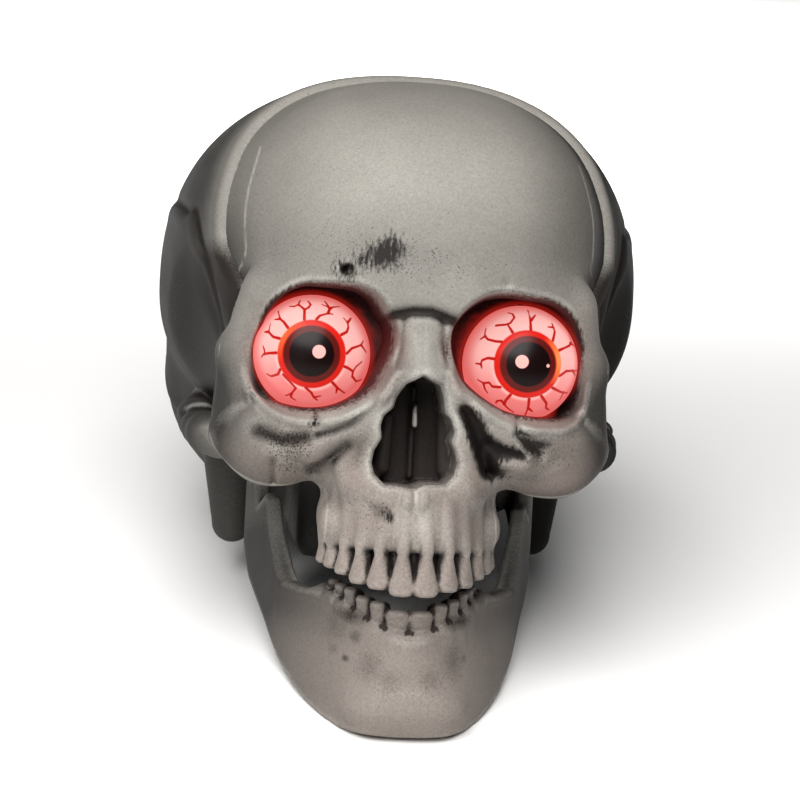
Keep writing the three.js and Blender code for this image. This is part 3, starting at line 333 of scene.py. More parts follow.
def teeth(p, row):
    """One row of teeth: shields with bowed fronts, narrow at the gum and broad and rounded at the biting edge."""
    x, y, z = np.abs(p[0]), p[1], p[2]
    made = np.float32(1e3)
    for (cx, cy, turn, width), lift, rise in zip(tooth_places(row), row["root_rises"], row["crown_rises"]):
        across = (x - cx) * math.cos(turn) + (y - cy) * math.sin(turn)
        inward = -(x - cx) * math.sin(turn) + (y - cy) * math.cos(turn)
        root, crown = row["root"] + lift, row["crown"] + rise
        share = np.clip((z - root) / (crown - root), 0, 1)
        broadened = np.clip((share - BROADENS_FROM) / BROADENS_OVER, 0, 1)
        half = width * (row["neck"] + (row["broad"] - row["neck"]) * broadened)
        shield = both(np.abs(across) - half, np.abs(z - (root + crown) / 2) - abs(crown - root) / 2,
                      SHIELD_ROUNDING * width)
        bowed = np.abs(inward - TOOTH_MIDDLE - ROOT_SET_BACK * (1 - share) - TOOTH_BOW * (across / half) ** 2)
        made = np.minimum(made, both(shield, bowed - HALF_TOOTH, TOOTH_RIM))
    return made


def braincase(p):
    """The rounded box of the braincase, narrower towards the face."""
    up = p[2] - 38
    width = 72.4 * (1 + 0.0021 * np.minimum(p[1], 0))
    reaches = (width, np.where(p[1] < 0, 88, 85), np.where(up > 0, 64, 50))
    return squared_oval((p[0], p[1], up), reaches, 2.32)


def nearest_outline(u, v, outlines):
    """Distance to the nearest of several closed outlines."""
    return np.minimum.reduce([outline(u, v, points) for points in outlines])


# Flat fields seen from the front, as (x, z), and from the side, as (y, z)
FRONT, SIDE = ((-78, -62), (78, 108)), ((-110, -90), (100, 122))
socket_mouth = kept_flat(nearest_outline, *FRONT, list(SOCKETS.values()))
nose_hole = kept_flat(outline, *FRONT, NOSE)
brushed = kept_flat(nearest_outline, *FRONT, STAINS)
behind_seam = kept_flat(outline, *SIDE, SEAM + [(-160, -60), (-160, 120)])
side_plate = kept_flat(outline, *SIDE, SQUAMA)
jaw_side = kept_flat(outline, *SIDE, JAW_UNDER + JAW_TOP)


def eyeball_gap(p):
    """Distance from the eyeballs."""
    return np.sqrt((np.abs(p[0]) - EYE[0]) ** 2 + (p[1] - EYE[1]) ** 2 + (p[2] - EYE[2]) ** 2) - EYE_RADIUS


def eye_socket(p):
    """The hollows round the eyes: a drawn outline at the brow that narrows towards the eyeball."""
    mouth = np.maximum(socket_mouth(p[0], p[2]) + 0.12 * (p[1] + 82), p[1] - EYE[1])
    return join(mouth, eyeball_gap(p) + 0.2, 0.6)


def skull_form(p):
    """The outside of face and braincase as one body, before it is parted and hollowed."""
    q = (np.abs(p[0]), p[1], p[2])
    # Braincase, full behind and below, with the temples cut in, and the middle of the face
    s = join(braincase(q), oval(q, (0, 37, 8), (69, 45, 48)), 12)
    s = cut(s, oval(q, (71, -40, 12), (18, 24, 34)), 7)
    s = join(s, oval(q, (0, -52, -2), (45, 34, 20)), 8)
    s = join(s, block(q, (0, -42, -18), (20, 22, 16), 8), 6)
    # Upper jaw, which bulges over the roots of its teeth
    bulge = np.exp(-((p[2] + 28) / 6) ** 2)
    s = join(s, post(q, -60, 23 + 1.6 * bulge, 29.2 + 0.4 * bulge, -33.8, 2, 1.4), 6)
    s = join(s, limb(q, (22.4, -71, -28), (22.6, -58, -27), 4.8, 4.6), 4)
    # Brow
    s = join(s, oval(q, (0, -82, 33), (16, 7, 8)), 8)
    s = join(s, limb(q, (12, -83, 37), (44, -67, 36), 5, 5), 8)
    s = join(s, limb(q, (44, -67, 35), (50, -58, 18), 5, 5), 5)
    # Cheek, flat below, and the arch behind it
    s = join(s, limb(q, (50, -58, 18), (50, -58, -6), 5, 7), 5)
    s = join(s, oval(q, (42, -64, -10), (14, 11, 12)), 6)
    s = join(s, limb(q, (44, -69, -3), (28, -78, -5), 5, 5), 5)
    s = join(s, limb(q, (28, -78, -5), (12, -82, 4), 5, 4), 5)
    s = cut(s, block(q, (46, -62, -44), (20.5, 40, 25), 3), 3)
    for start, end in zip(ARCH, ARCH[1:]):
        s = join(s, limb(q, start, end, 5.4, 5.4), 3)
    # The slanting lower corner of the cheek, which runs out along the arch
    slant = 44.8 + 12 * smoothstep(-52, -34, q[1]) - 0.68 * q[0] + 0.735 * q[2] + 30 * smoothstep(-24, -32, q[2])
    s = cut(s, slant, 4)
    # Nose bones
    s = join(s, limb(q, (15, -80, -14), (9, -81, 20), 6.5, 4.5), 5)
    s = join(s, limb(p, (-1, -84, 28.5), (-0.8, -89.5, 14.5), 4.4, 5.0), 5)
    s = join(s, limb(q, (4.5, -86, 15), (12, -83.5, -4), 4, 3.4), 5)
    s = cut(s, oval(q, (22, -91, -13), (6, 7, 9)), 6)
    # Mastoids and base
    s = join(s, limb(q, (46, 18, 4), (47, 14, -36.5), 14.5, 6.3), 5)
    return join(s, block(p, (0, 14, -22.5), (28.5, 38, 21.5), 6), 4)


def drawn_relief(x, z):
    """How far the drawn grooves of the face go in, and its ridges stand out, seen from the front."""
    relief = np.float32(0)
    for depth, width, line in FACE_LINES:
        relief = relief + depth * np.exp(-(to_line(x, z, line) / width) ** 2)
    # The rolled lower rim of the sockets
    return relief - 1.7 * np.exp(-((socket_mouth(x, z) - 2.3) / 1.6) ** 2) * smoothstep(20, 8, z)


front_relief = kept_flat(drawn_relief, *FRONT)


def face_relief(p):
    """The drawn relief, on the front of the face alone."""
    return front_relief(p[0], p[2]) * smoothstep(-58, -66, p[1])


def face_form(p):
    """The face with its hollows and its upper teeth."""
    q = (np.abs(p[0]), p[1], p[2])
    s = skull_form(p)
    # Ridges over the roots of the upper teeth
    for place, (x, y, turn, width) in enumerate(tooth_places(UPPER)):
        low, high = [(x - deep * math.sin(turn), y + deep * math.cos(turn), z)
                     for deep, z in ((3.0, -33.2), (5.2 - 0.3 * place, -19.5))]
        s = join(s, limb(q, low, high, width * 0.25, width * 0.24), 1.5)
    s = s + face_relief(p)
    # Holes in the brow, the left one deeper
    s = cut(s, limb(p, (-23.2, -92, 42.6), (-21.8, -83, 42), 1.5, 1.5), 1.4)
    s = cut(s, limb(p, (22.6, -92, 41.2), (22.4, -86.3, 41), 1.5, 1.1), 1.6)
    s = cut(s, eye_socket(p), 1.4)
    nose = np.maximum(nose_hole(p[0], p[2]), p[1] + 67)
    s = cut(s, nose, 1.6)
    # Inside the nose: the thin wall and a shelf on each side. Below it: two small bumps
    s = join(s, block(p, (-0.6, -66, -2), (0.7, 3.4, 13), 0.6), 1.6)
    s = join(s, block(p, (-0.6, -72, 3), (0.7, 5, 3.4), 0.6), 1)
    s = join(s, limb(q, (9, -72, -12), (7.6, -71, 2), 2.4, 1.6), 2)
    for x in (-2.9, 1.5):
        s = join(s, oval(p, (x, -90, -19.4), (1.7, 2, 3)), 1.8)
    # The palate and the upper teeth
    s = join(s, post(q, -60, 19.5, 26, -43, -30, 3), 1)
    return join(s, teeth(p, UPPER), 0.6)


def jaw_form(p):
    """The lower jaw: a horseshoe in plan whose height follows its side view, with its hinge eyes and teeth."""
    x, y, z = np.abs(p[0]), p[1], p[2]
    upper = np.clip((z + 74) / 22, 0, 1)
    forward = np.clip((-44 - y) / 25, 0, 1)
    wide = x + 5 * upper * forward * np.minimum(1, x / 20)
    plan = squared_oval((wide, np.minimum(y + 2, 0)), (44 - 2.6 * smoothstep(-8, -36, y), 86.5), 1.8) * 0.92
    thickness = 6.4 + 3.6 * smoothstep(40, 80, -y) - 1.8 * smoothstep(-46, -30, z)
    s = cut(plan, plan + thickness, 3)
    s = cut(s, -jaw_side(y, z), 2.4)
    # Chin
    s = join(s, oval((x, y, z), (0, -80, -78), (17, 8.5, 6)), 6)
    # Hinge eye with its hole and the washer's seat on its outer side
    hinge = np.sqrt((y - PIVOT[1]) ** 2 + (z - PIVOT[2]) ** 2)
    s = join(s, np.maximum(hinge - HINGE_EYE, np.abs(x - 38.6) - 3.7), 1.5)
    s = np.maximum(s, PIVOT_HOLE - hinge)
    s = np.maximum(s, -np.maximum(hinge - WASHER_SEAT, 42.3 - x))
    # Ridges over the roots of the lower teeth
    for (cx, cy, _, width), lift in zip(tooth_places(LOWER), LOWER["root_rises"]):
        foot = LOWER["gum"] + lift
        high, low = (cx, cy + 3.4, foot - 1), (0.96 * cx, cy + 4.8, foot - 10)
        s = join(s, limb((x, y, z), high, low, width * 0.36, width * 0.2), 3)
    return join(s, teeth(p, LOWER), 0.7)


def standing_floor(p):
    """Height over the floor that the chin and the heel stand on."""
    turn = ROW.to_3x3()
    return p[1] * turn[2][1] + p[2] * turn[2][2] + ROW.translation.z * METRE


def face_shell_form(p, sizes):
    """The face as a shell that ends at the seam, sunk a little along it above the cheeks."""
    seam = behind_seam(p[1], p[2])
    s = face_form(p)
    inset = sizes.lip_rise * METRE * smoothstep(-13, -1, seam) * smoothstep(30, 40, p[2])
    wall = np.maximum(s + inset, -(s + sizes.wall * METRE))
    return cut(wall, -seam, 0.3)


def rear_outside(p, sizes):
    """The rear shell as a solid body: a rolled lip along the seam, and a raised plate with a rim on each side."""
    seam = behind_seam(p[1], p[2])
    plate = side_plate(p[1], p[2])
    rim = (smoothstep(1.2, -0.8, plate) + 0.5 * np.exp(-((plate + 2.6) / 1.8) ** 2)
           - 0.5 * np.exp(-((plate - 1.6) / 1.2) ** 2))
    bead = np.exp(-((seam - 2) / 2.4) ** 2) * smoothstep(30, 40, p[2])
    raised = sizes.plate_rise * METRE * rim * smoothstep(40, 48, np.abs(p[0]))
    s = skull_form(p) - raised - sizes.bead_rise * METRE * bead
    # Flat below
    s = np.maximum(s, -43 - p[2])
    # Where the lip stands over the face it also reaches a little over it
    gap = sizes.seam_gap * METRE - sizes.lip_reach * METRE * smoothstep(30, 40, p[2])
    return cut(s, seam - gap, 1.1)


def rear_shell_form(p, sizes):
    """The rear as a shell, clear of the eye cups and open below for the battery tray, with its bosses and lugs."""
    s = np.maximum(rear_outside(p, sizes), -(skull_form(p) + sizes.wall * METRE))
    s = np.maximum(s, -(eye_socket(p) - 3.3))
    s = np.maximum(s, -block(p, (0, 14, -30), (25.5, 35, 30), 3))
    # Bosses for the screws of the base plate, and lugs for the jaw's pivots
    q = (np.abs(p[0]), p[1], p[2])
    for y in BOSS_Y:
        boss = np.hypot(q[0] - BOSS_X, q[1] - y)
        s = join(s, np.maximum(boss - BOSS_RADIUS, np.abs(q[2] + 28.35) - 8.85), 1)
        s = np.maximum(s, -np.maximum(boss - BOSS_BORE, q[2] + 28.5))
    hinge = np.hypot(q[1] - PIVOT[1], q[2] - PIVOT[2])
    s = join(s, np.maximum(hinge - PIVOT_LUG, np.abs(q[0] - 30.3) - 3.3), 1.2)
    return np.maximum(s, -np.maximum(hinge - PIVOT_HOLE, 29.8 - q[0]))


FAR = np.float32(9)  # stands for any distance in a cube that the surface stays out of
CUBE_MARGIN = 1.5  # a cube counts as crossed if its middle is within this many of its sides from the surface
BATCH = 1500  # cubes worked out at once


def field_values(form, axes, step, size=6):
    """A distance field on a grid, worked out only in the cubes of it that the surface can pass through."""
    counts = [-(-len(axis) // size) for axis in axes]
    padded = [axis[0] + step * np.arange(n * size, dtype=np.float32) for axis, n in zip(axes, counts)]
    middles = [axis[:1] + step * (size * np.arange(n, dtype=np.float32) + (size - 1) / 2)
               for axis, n in zip(axes, counts)]
    rough = form((middles[0][:, None, None], middles[1][None, :, None], middles[2][None, None, :]))
    near = np.argwhere(np.abs(rough) < CUBE_MARGIN * size * step)
    sign = np.where(rough < 0, -FAR, FAR)
    values = np.repeat(np.repeat(np.repeat(sign, size, 0), size, 1), size, 2)
    inner = np.stack(np.meshgrid(*[np.arange(size)] * 3, indexing="ij"), -1).reshape(-1, 3)
    for part in np.array_split(near, max(1, len(near) // BATCH)):
        place = (part[:, None, :] * size + inner[None, :, :]).reshape(-1, 3)
        values[tuple(place.T)] = form(tuple(axis[place[:, k]] for k, axis in enumerate(padded)))
    return values


def surface(form, low, high, step):
    """The surface of a distance field as quads: a vertex in each cell that it crosses, a quad for each grid edge.
    The bones are made this way because melted forms with rounded cuts can't be built from primitives by hand."""
    axes = [np.arange(a, b + step, step, dtype=np.float32) for a, b in zip(low, high)]
    values = field_values(form, axes, step)
    inside = values < 0
    corners = [(i, j, k) for i in (0, 1) for j in (0, 1) for k in (0, 1)]
    shape = [n - 1 for n in values.shape]
    count = sum(inside[tuple(slice(c, c + n) for c, n in zip(corner, shape))].astype(np.int8) for corner in corners)
    cells = np.argwhere((count > 0) & (count < 8))
    index = np.full(shape, -1, np.int32)
    index[tuple(cells.T)] = np.arange(len(cells))
    at = {corner: values[tuple((cells + corner).T)] for corner in corners}
    total, crossings = np.zeros((len(cells), 3)), np.zeros(len(cells))
    for corner in corners:
        for axis in range(3):
            if corner[axis]:
                continue
            far = tuple(1 if k == axis else c for k, c in enumerate(corner))
            a, b = at[corner], at[far]
            crossed = (a < 0) != (b < 0)
            offset = np.tile(np.array(corner, float), (len(cells), 1))
            offset[:, axis] += np.where(crossed, a / np.where(crossed, a - b, 1), 0)
            total += offset * crossed[:, None]
            crossings += crossed
    points = (cells + total / crossings[:, None]) * step + np.array(low)
    quads = []
    for axis in range(3):
        near = inside[tuple(slice(0, -1) if k == axis else slice(1, -1) for k in range(3))]
        far = inside[tuple(slice(1, None) if k == axis else slice(1, -1) for k in range(3))]
        u, v = [k for k in range(3) if k != axis]
        for leaving in (True, False):
            edges = np.argwhere((near != far) & (near == leaving))
            edges[:, [u, v]] += 1
            ring = []
            for du, dv in ((0, 0), (-1, 0), (-1, -1), (0, -1)):
                cell = edges.copy()
                cell[:, u] += du
                cell[:, v] += dv
                ring.append(index[tuple(cell.T)])
            quad = np.stack(ring, 1)
            quads.append(quad if leaving ^ (axis == 1) else quad[:, ::-1])
    return points, np.concatenate(quads)


def normals(form, points, reach=0.4):
    """Outward directions of a distance field at its points."""
    slopes = []
    for axis in range(3):
        step = np.zeros(3)
        step[axis] = reach
        slopes.append(form(tuple((points + step).T)) - form(tuple((points - step).T)))
    slopes = np.stack(slopes, 1)
    return slopes / np.maximum(np.linalg.norm(slopes, axis=1, keepdims=True), 1e-9)


HOLLOW_REACHES, EDGE_REACHES = (1.4, 4.5), (0.9, 2.2)  # how far out and in the form is felt, a short and a long way


def hollows_and_edges(form, points, outward):
    """How deep in a hollow and how far out on an edge each point lies, from 0 to 1."""
    hollow, edge = np.zeros(len(points)), np.zeros(len(points))
    for reach in HOLLOW_REACHES:
        hollow += 0.5 * np.clip(1 - form(tuple((points + outward * reach).T)) / reach, 0, 1)
    for reach in EDGE_REACHES:
        edge += 0.5 * np.clip(1 + form(tuple((points - outward * reach).T)) / reach, 0, 1)
    return hollow, edge


def blot(points, centre, radii):
    """A soft patch: 1 at its centre, 0 at its rim."""
    away = np.linalg.norm((points - np.array(centre)) / np.array(radii), axis=1)
    return np.clip(1 - away, 0, 1)


MOST_TRIANGLES = 190_000


def vertex_places(made):
    """The places of a mesh's vertices, in metres."""
    place = np.zeros(len(made.data.vertices) * 3)
    made.data.vertices.foreach_get("co", place)
    return place.reshape(-1, 3)


def bone_object(name, form, low, high, step):
    """A bone from its form, in millimetres in the skull's frame, and the places of its vertices there."""
    points, quads = surface(form, low, high, step * (1))
    mesh = bpy.data.meshes.new(name)
    turn = np.array(ROW)
    mesh.from_pydata((points * MM @ turn[:3, :3].T + turn[:3, 3]).tolist(), [], quads.tolist())
    mesh.update()
    made = bpy.data.objects.new(name, mesh)
    bpy.context.scene.collection.objects.link(made)
    bpy.ops.object.select_all(action="DESELECT")
    made.select_set(True)
    bpy.context.view_layer.objects.active = made
    if len(quads) * 2 > MOST_TRIANGLES:
        thinned = made.modifiers.new("thinned", "DECIMATE")
        thinned.ratio = MOST_TRIANGLES / (len(quads) * 2)
        bpy.ops.object.modifier_apply(modifier=thinned.name)
    bpy.ops.object.shade_smooth()
    return made, (vertex_places(made) - turn[:3, 3]) @ turn[:3, :3] * METRE


def keep_marks(made, marks):
    """Keeps a piece's paint marks as attributes of its vertices."""
    for mark, values in marks.items():
        made.data.attributes.new(mark, "FLOAT", "POINT").data.foreach_set("value", values.astype(np.float32))


def add(tree, kind, settings=None, links=None, stops=None):
    """Adds a node, with settings for its properties or inputs, links into its inputs and a ramp's stops."""
    made = tree.nodes.new(kind)
    for name, value in (settings or {}).items():
        if isinstance(name, str) and hasattr(made, name):
            setattr(made, name, value)
        else:
            made.inputs[name].default_value = value
    for name, source in (links or {}).items():
        tree.links.new(source, made.inputs[name])
    for place, (position, colour) in enumerate(stops or []):
        if place > 1:
            made.color_ramp.elements.new(position)
        made.color_ramp.elements[place].position = position
        made.color_ramp.elements[place].color = (*colour, 1)
    return made


def new_material(name):
    """A new node material, its tree, its Principled shader and the object coordinates that patterns follow."""
    material = bpy.data.materials.new(name)
    material.use_nodes = True
    tree = material.node_tree
    place = add(tree, "ShaderNodeTexCoord").outputs["Object"]
    return material, tree, tree.nodes["Principled BSDF"], place


BONE_FINISH, EYE_FINISH = "bone_paint_on_moulded_plastic", "printed_milky_plastic_lit"
# Marks of the paint. Some are distances in millimetres, and the rest go from 0 to about 1.
DISTANCE_MARKS = ("stain", "socket", "nose", "tooth", "mould_line")
BONE_MARKS = (*DISTANCE_MARKS, "hollow", "edge", "shade", "gum", "speckle", "glow", "warm")
EYE_MARKS = ("polar", "vein", "glint", "hot", "tint")


def painted_bone(paint):
    """Blow-moulded polythene sprayed bone grey: a satin skin with fine grain, a brown wash rubbed into the hollows
    that also paints their shade, edges worn lighter and some of them given a painted highlight, painted shade on the
    sides and back, and dark spatter. The sockets are sprayed maroon, and the red light of the eyes on them is painted
    as a glow."""
    material, tree, shader, place = new_material(BONE_FINISH)
    mark = {name: add(tree, "ShaderNodeAttribute", {"attribute_name": name}).outputs["Fac"] for name in BONE_MARKS}
    # Clouds of the spray are about 20 mm across, its grain 0.7 mm and its spatter 0.55 mm. The hairs of a brushed edge
    # are about 0.8 mm wide and 3 mm long.
    noise = {name: add(tree, "ShaderNodeTexNoise", {"Scale": METRE / size, "Detail": detail},
                       {"Vector": place}).outputs["Fac"]
             for name, size, detail in (("clouds", 20, 4.0), ("grain", 0.7, 2.0), ("spatter", 0.55, 1.0))}
    hairs = add(tree, "ShaderNodeMapping", {"Rotation": (0.0, 0.3, 0.0), "Scale": (2.0, 1.0, 0.5)}, {"Vector": place})
    noise["fringe"] = add(tree, "ShaderNodeTexNoise", {"Scale": METRE / 1.6, "Detail": 3.0},
                          {"Vector": hairs.outputs["Vector"]}).outputs["Fac"]
    # A layer's factor is a mark plus a share of a noise, spread between two values.
    spread = {}
    for name, base, extra, share, low, high, most in (
            ("tooth", "tooth", "grain", 0.2, 0.6, 0.1, 1.0),
            ("gum", "gum", "fringe", 0.7, 0.5, 0.9, 0.95),
            ("edge", "edge", "grain", 0.1, 0.16, 0.62, 0.62),
            ("wash_and_shade", "hollow", "spatter", 0.36, 0.33, 0.9, 0.95),
            ("stain", "stain", "fringe", 4.5, 2.7, 1.4, 0.97),
            ("nose", "nose", "fringe", 1.6, 1.2, 0.3, 0.93),
            ("socket", "socket", "fringe", 2.4, 1.5, 0.5, 0.97),
            ("speckle", "speckle", "spatter", 5.0, 3.6, 4.0, 0.7)):
        mixed = add(tree, "ShaderNodeMath", {"operation": "MULTIPLY_ADD", 1: share}, {0: noise[extra], 2: mark[base]})
        spread[name] = add(tree, "ShaderNodeMapRange", {"From Min": low, "From Max": high, "To Max": most},
                           {"Value": mixed.outputs[0]}).outputs["Result"]
    # Lighter along the mould line: the scraped flash, with a painted highlight on it, and raised by the bump below
    line = add(tree, "ShaderNodeMapRange", {"From Min": 0.12, "From Max": 0.45, "To Min": 0.4, "To Max": 0.0},
               {"Value": mark["mould_line"]}).outputs["Result"]
    # Painted shade: the side colour by the shade mark, and part of the wash in the hollows. The rubbed colour on edges
    # and on the mould line is partly wear and partly painted highlight.
    layers = [
        (paint.tooth, spread["tooth"]), (paint.warm, mark["warm"]), (paint.side, mark["shade"]),
        (paint.rubbed_and_highlight, spread["edge"]), (paint.rubbed_and_highlight, line), (paint.wash_and_shade, spread["wash_and_shade"]),
        (paint.stain, spread["stain"]), (paint.wash_and_shade, spread["speckle"]), (paint.nose, spread["gum"]),
        (paint.nose, spread["nose"]), (paint.socket, spread["socket"]),
    ]
    body = add(tree, "ShaderNodeMix", {"data_type": "RGBA", 6: (*paint.bone, 1), 7: (*paint.bone_dim, 1)},
               {0: noise["clouds"]}).outputs[2]
    for colour, factor in layers:
        body = add(tree, "ShaderNodeMix", {"data_type": "RGBA", 7: (*colour, 1)}, {0: factor, 6: body}).outputs[2]
    tone = add(tree, "ShaderNodeMapRange", {"To Min": 0.7, "To Max": 1.3}, {"Value": noise["grain"]}).outputs["Result"]
    body = add(tree, "ShaderNodeMix", {"data_type": "RGBA", "blend_type": "MULTIPLY", 0: 1.0}, {6: body, 7: tone})
    tree.links.new(body.outputs[2], shader.inputs["Base Color"])
    # Painted glow: the red light of the eyes on the bone, as emission of the bone itself
    lit = add(tree, "ShaderNodeMix", {"data_type": "RGBA", 6: (*linear("#000000"), 1), 7: (*paint.glow, 1)},
              {0: mark["glow"]})
    tree.links.new(lit.outputs[2], shader.inputs["Emission Color"])
    shader.inputs["Emission Strength"].default_value = 1.0
    rough = add(tree, "ShaderNodeMapRange", {"To Min": 0.5, "To Max": 0.7}, {"Value": noise["clouds"]})
    tree.links.new(rough.outputs["Result"], shader.inputs["Roughness"])
    # Where the painted shade is deepest, on the far side, the surface is also matt.
    matt = add(tree, "ShaderNodeMapRange", {"From Min": 0.95, "From Max": 1.25, "To Min": 0.15, "To Max": 0.02},
               {"Value": mark["shade"]}).outputs["Result"]
    tree.links.new(matt, shader.inputs["Specular IOR Level"])
    height = add(tree, "ShaderNodeMath", {"operation": "MULTIPLY_ADD", 1: 0.4},
                 {0: noise["spatter"], 2: noise["grain"]})
    height = add(tree, "ShaderNodeMath", {"operation": "MULTIPLY_ADD", 1: 2.0}, {0: line, 2: height.outputs[0]})
    bump = add(tree, "ShaderNodeBump", {"Strength": 0.25, "Distance": 0.0002}, {"Height": height.outputs[0]})
    tree.links.new(bump.outputs["Normal"], shader.inputs["Normal"])
    return material


RAMP_END = 90.0  # degrees from the gaze


def printed_eye(eye):
    """Milky plastic lit from inside, printed with veins and an iris, under a clear gloss."""
    material, tree, shader, place = new_material(EYE_FINISH)
    mark = {name: add(tree, "ShaderNodeAttribute", {"attribute_name": name}).outputs["Fac"] for name in EYE_MARKS}
    # The print's edges waver with a noise of 4 mm. The ramp of its colours goes from the gaze to a right angle off it,
    # and the back of the ball is dark, so that it doesn't shine through the seam.
    mottle = add(tree, "ShaderNodeTexNoise", {"Scale": METRE / 4, "Detail": 3.0}, {"Vector": place}).outputs["Fac"]
    angle = add(tree, "ShaderNodeMath", {"operation": "MULTIPLY_ADD", 1: 0.8}, {0: mottle, 2: mark["polar"]}).outputs[0]
    angle = add(tree, "ShaderNodeMath", {"operation": "DIVIDE", 1: RAMP_END}, {0: angle}).outputs[0]
    ring = [edge / RAMP_END for edge in (eye.pupil_edge, eye.iris_edge, eye.ring_edge)]
    colour = add(tree, "ShaderNodeValToRGB", {}, {"Fac": angle}, [
        (0.0, eye.pupil), (ring[0] - 0.008, eye.pupil), (ring[0] + 0.008, eye.iris), (ring[1] - 0.01, eye.iris),
        (ring[1] + 0.01, eye.ring), (ring[2] - 0.008, eye.ring), (ring[2] + 0.008, eye.white), (0.66, eye.white),
        (0.97, eye.rim), (1.0, eye.pupil)]).outputs["Color"]
    vein = add(tree, "ShaderNodeMapRange", {"From Min": -0.08, "From Max": 0.12, "To Min": 1.0, "To Max": 0.0},
               {"Value": mark["vein"]}).outputs["Result"]
    glint = add(tree, "ShaderNodeMapRange", {"From Min": -0.08, "From Max": 0.1, "To Min": 1.0, "To Max": 0.0},
                {"Value": mark["glint"]}).outputs["Result"]
    for tint, factor in ((eye.lower_shade_pink, mark["tint"]), (eye.vein, vein), (eye.hot, mark["hot"]), (eye.glint, glint)):
        colour = add(tree, "ShaderNodeMix", {"data_type": "RGBA", 7: (*tint, 1)}, {0: factor, 6: colour}).outputs[2]
    tree.links.new(colour, shader.inputs["Emission Color"])
    dim = add(tree, "ShaderNodeMix", {"data_type": "RGBA", 0: 0.75, 7: (*linear("#0D0303"), 1)}, {6: colour}).outputs[2]
    tree.links.new(dim, shader.inputs["Base Color"])
    shader.inputs["Emission Strength"].default_value = eye.glow
    shader.inputs["Roughness"].default_value = 0.3
    shader.inputs["Specular IOR Level"].default_value = 0.15
    shader.inputs["IOR"].default_value = 1.49
    return material


def plain_finish(name, light, dark, rough, metallic=0.0, grain_mm=0.8, bump=0.1, glow=0.0):
    """A moulded, plated or drawn surface: two close tones in clouds of 6 mm, and a fine grain that roughens it."""
    material, tree, shader, place = new_material(name)
    grain = add(tree, "ShaderNodeTexNoise", {"Scale": METRE / grain_mm, "Detail": 3.0},
                {"Vector": place}).outputs["Fac"]
    wear = add(tree, "ShaderNodeTexNoise", {"Scale": METRE / 6, "Detail": 4.0}, {"Vector": place}).outputs["Fac"]
    colour = add(tree, "ShaderNodeMix", {"data_type": "RGBA", 6: (*linear(light), 1), 7: (*linear(dark), 1)},
                 {0: wear}).outputs[2]
    tree.links.new(colour, shader.inputs["Base Color"])
    shine = add(tree, "ShaderNodeMapRange", {"To Min": rough - 0.08, "To Max": rough + 0.1}, {"Value": grain})
    tree.links.new(shine.outputs["Result"], shader.inputs["Roughness"])
    lumps = add(tree, "ShaderNodeBump", {"Strength": bump, "Distance": 0.0001}, {"Height": grain})
    tree.links.new(lumps.outputs["Normal"], shader.inputs["Normal"])
    shader.inputs["Metallic"].default_value = metallic
    if glow:
        tree.links.new(colour, shader.inputs["Emission Color"])
        shader.inputs["Emission Strength"].default_value = glow
    return material


def cell_jacket():
    """A glossy shrink-film jacket in two plain bands, with a grain of 2 mm in its gloss."""
    material, tree, shader, place = new_material("shrink_film_jacket")
    lean = math.atan2(-ROW[2][1], ROW[1][1])
    along = add(tree, "ShaderNodeMapping", {"Rotation": (lean, 0, 0)}, {"Vector": place})
    along = add(tree, "ShaderNodeSeparateXYZ", {}, {"Vector": along.outputs["Vector"]}).outputs["Y"]
    grain = add(tree, "ShaderNodeTexNoise", {"Scale": METRE / 2, "Detail": 3.0}, {"Vector": place}).outputs["Fac"]
    # The second band begins 20 mm behind the middle of the frame, along the cell.
    band = add(tree, "ShaderNodeMath", {"operation": "GREATER_THAN", 1: 20 * MM}, {0: along}).outputs[0]
    colour = add(tree, "ShaderNodeMix",
                 {"data_type": "RGBA", 6: (*linear("#2F4A3A"), 1), 7: (*linear("#B9BCB6"), 1)}, {0: band}).outputs[2]
    tree.links.new(colour, shader.inputs["Base Color"])
    shine = add(tree, "ShaderNodeMapRange", {"To Min": 0.25, "To Max": 0.4}, {"Value": grain}).outputs["Result"]
    tree.links.new(shine, shader.inputs["Roughness"])
    return material


def solder_mask():
    """A green lacquered board whose copper tracks, about 0.35 mm wide, show through as lighter lines."""
    material, tree, shader, place = new_material("solder_mask_on_board")
    tracks = add(tree, "ShaderNodeTexBrick", {
        "Scale": 1.0, "Brick Width": 5.2 * MM, "Row Height": 3.1 * MM, "Mortar Size": 0.35 * MM,
        "Color1": (*linear("#1F5A38"), 1), "Color2": (*linear("#1B5033"), 1), "Mortar": (*linear("#3E8A55"), 1),
    }, {"Vector": place})
    tree.links.new(tracks.outputs["Color"], shader.inputs["Base Color"])
    bump = add(tree, "ShaderNodeBump", {"Strength": 0.3, "Distance": 0.00005}, {"Height": tracks.outputs["Fac"]})
    tree.links.new(bump.outputs["Normal"], shader.inputs["Normal"])
    shader.inputs["Roughness"].default_value = 0.4
    return material


# Print of each eye, seen along its gaze: highlights as (across, up, radius), and the middle of the light beside the
# iris as (degrees from the gaze, degrees round it), with its strength
EYE_PRINTS = {
    -1: {"gaze": (-0.055, -0.998, 0.003), "glints": [(2.0, 0.8, 1.84)], "hot": (32, 150), "heat": 0.4},
    1: {"gaze": (0.023, -0.9995, 0.02), "glints": [(-2.0, 0.6, 1.84), (5.8, -0.2, 0.5)], "hot": (32, 10), "heat": 1},
}
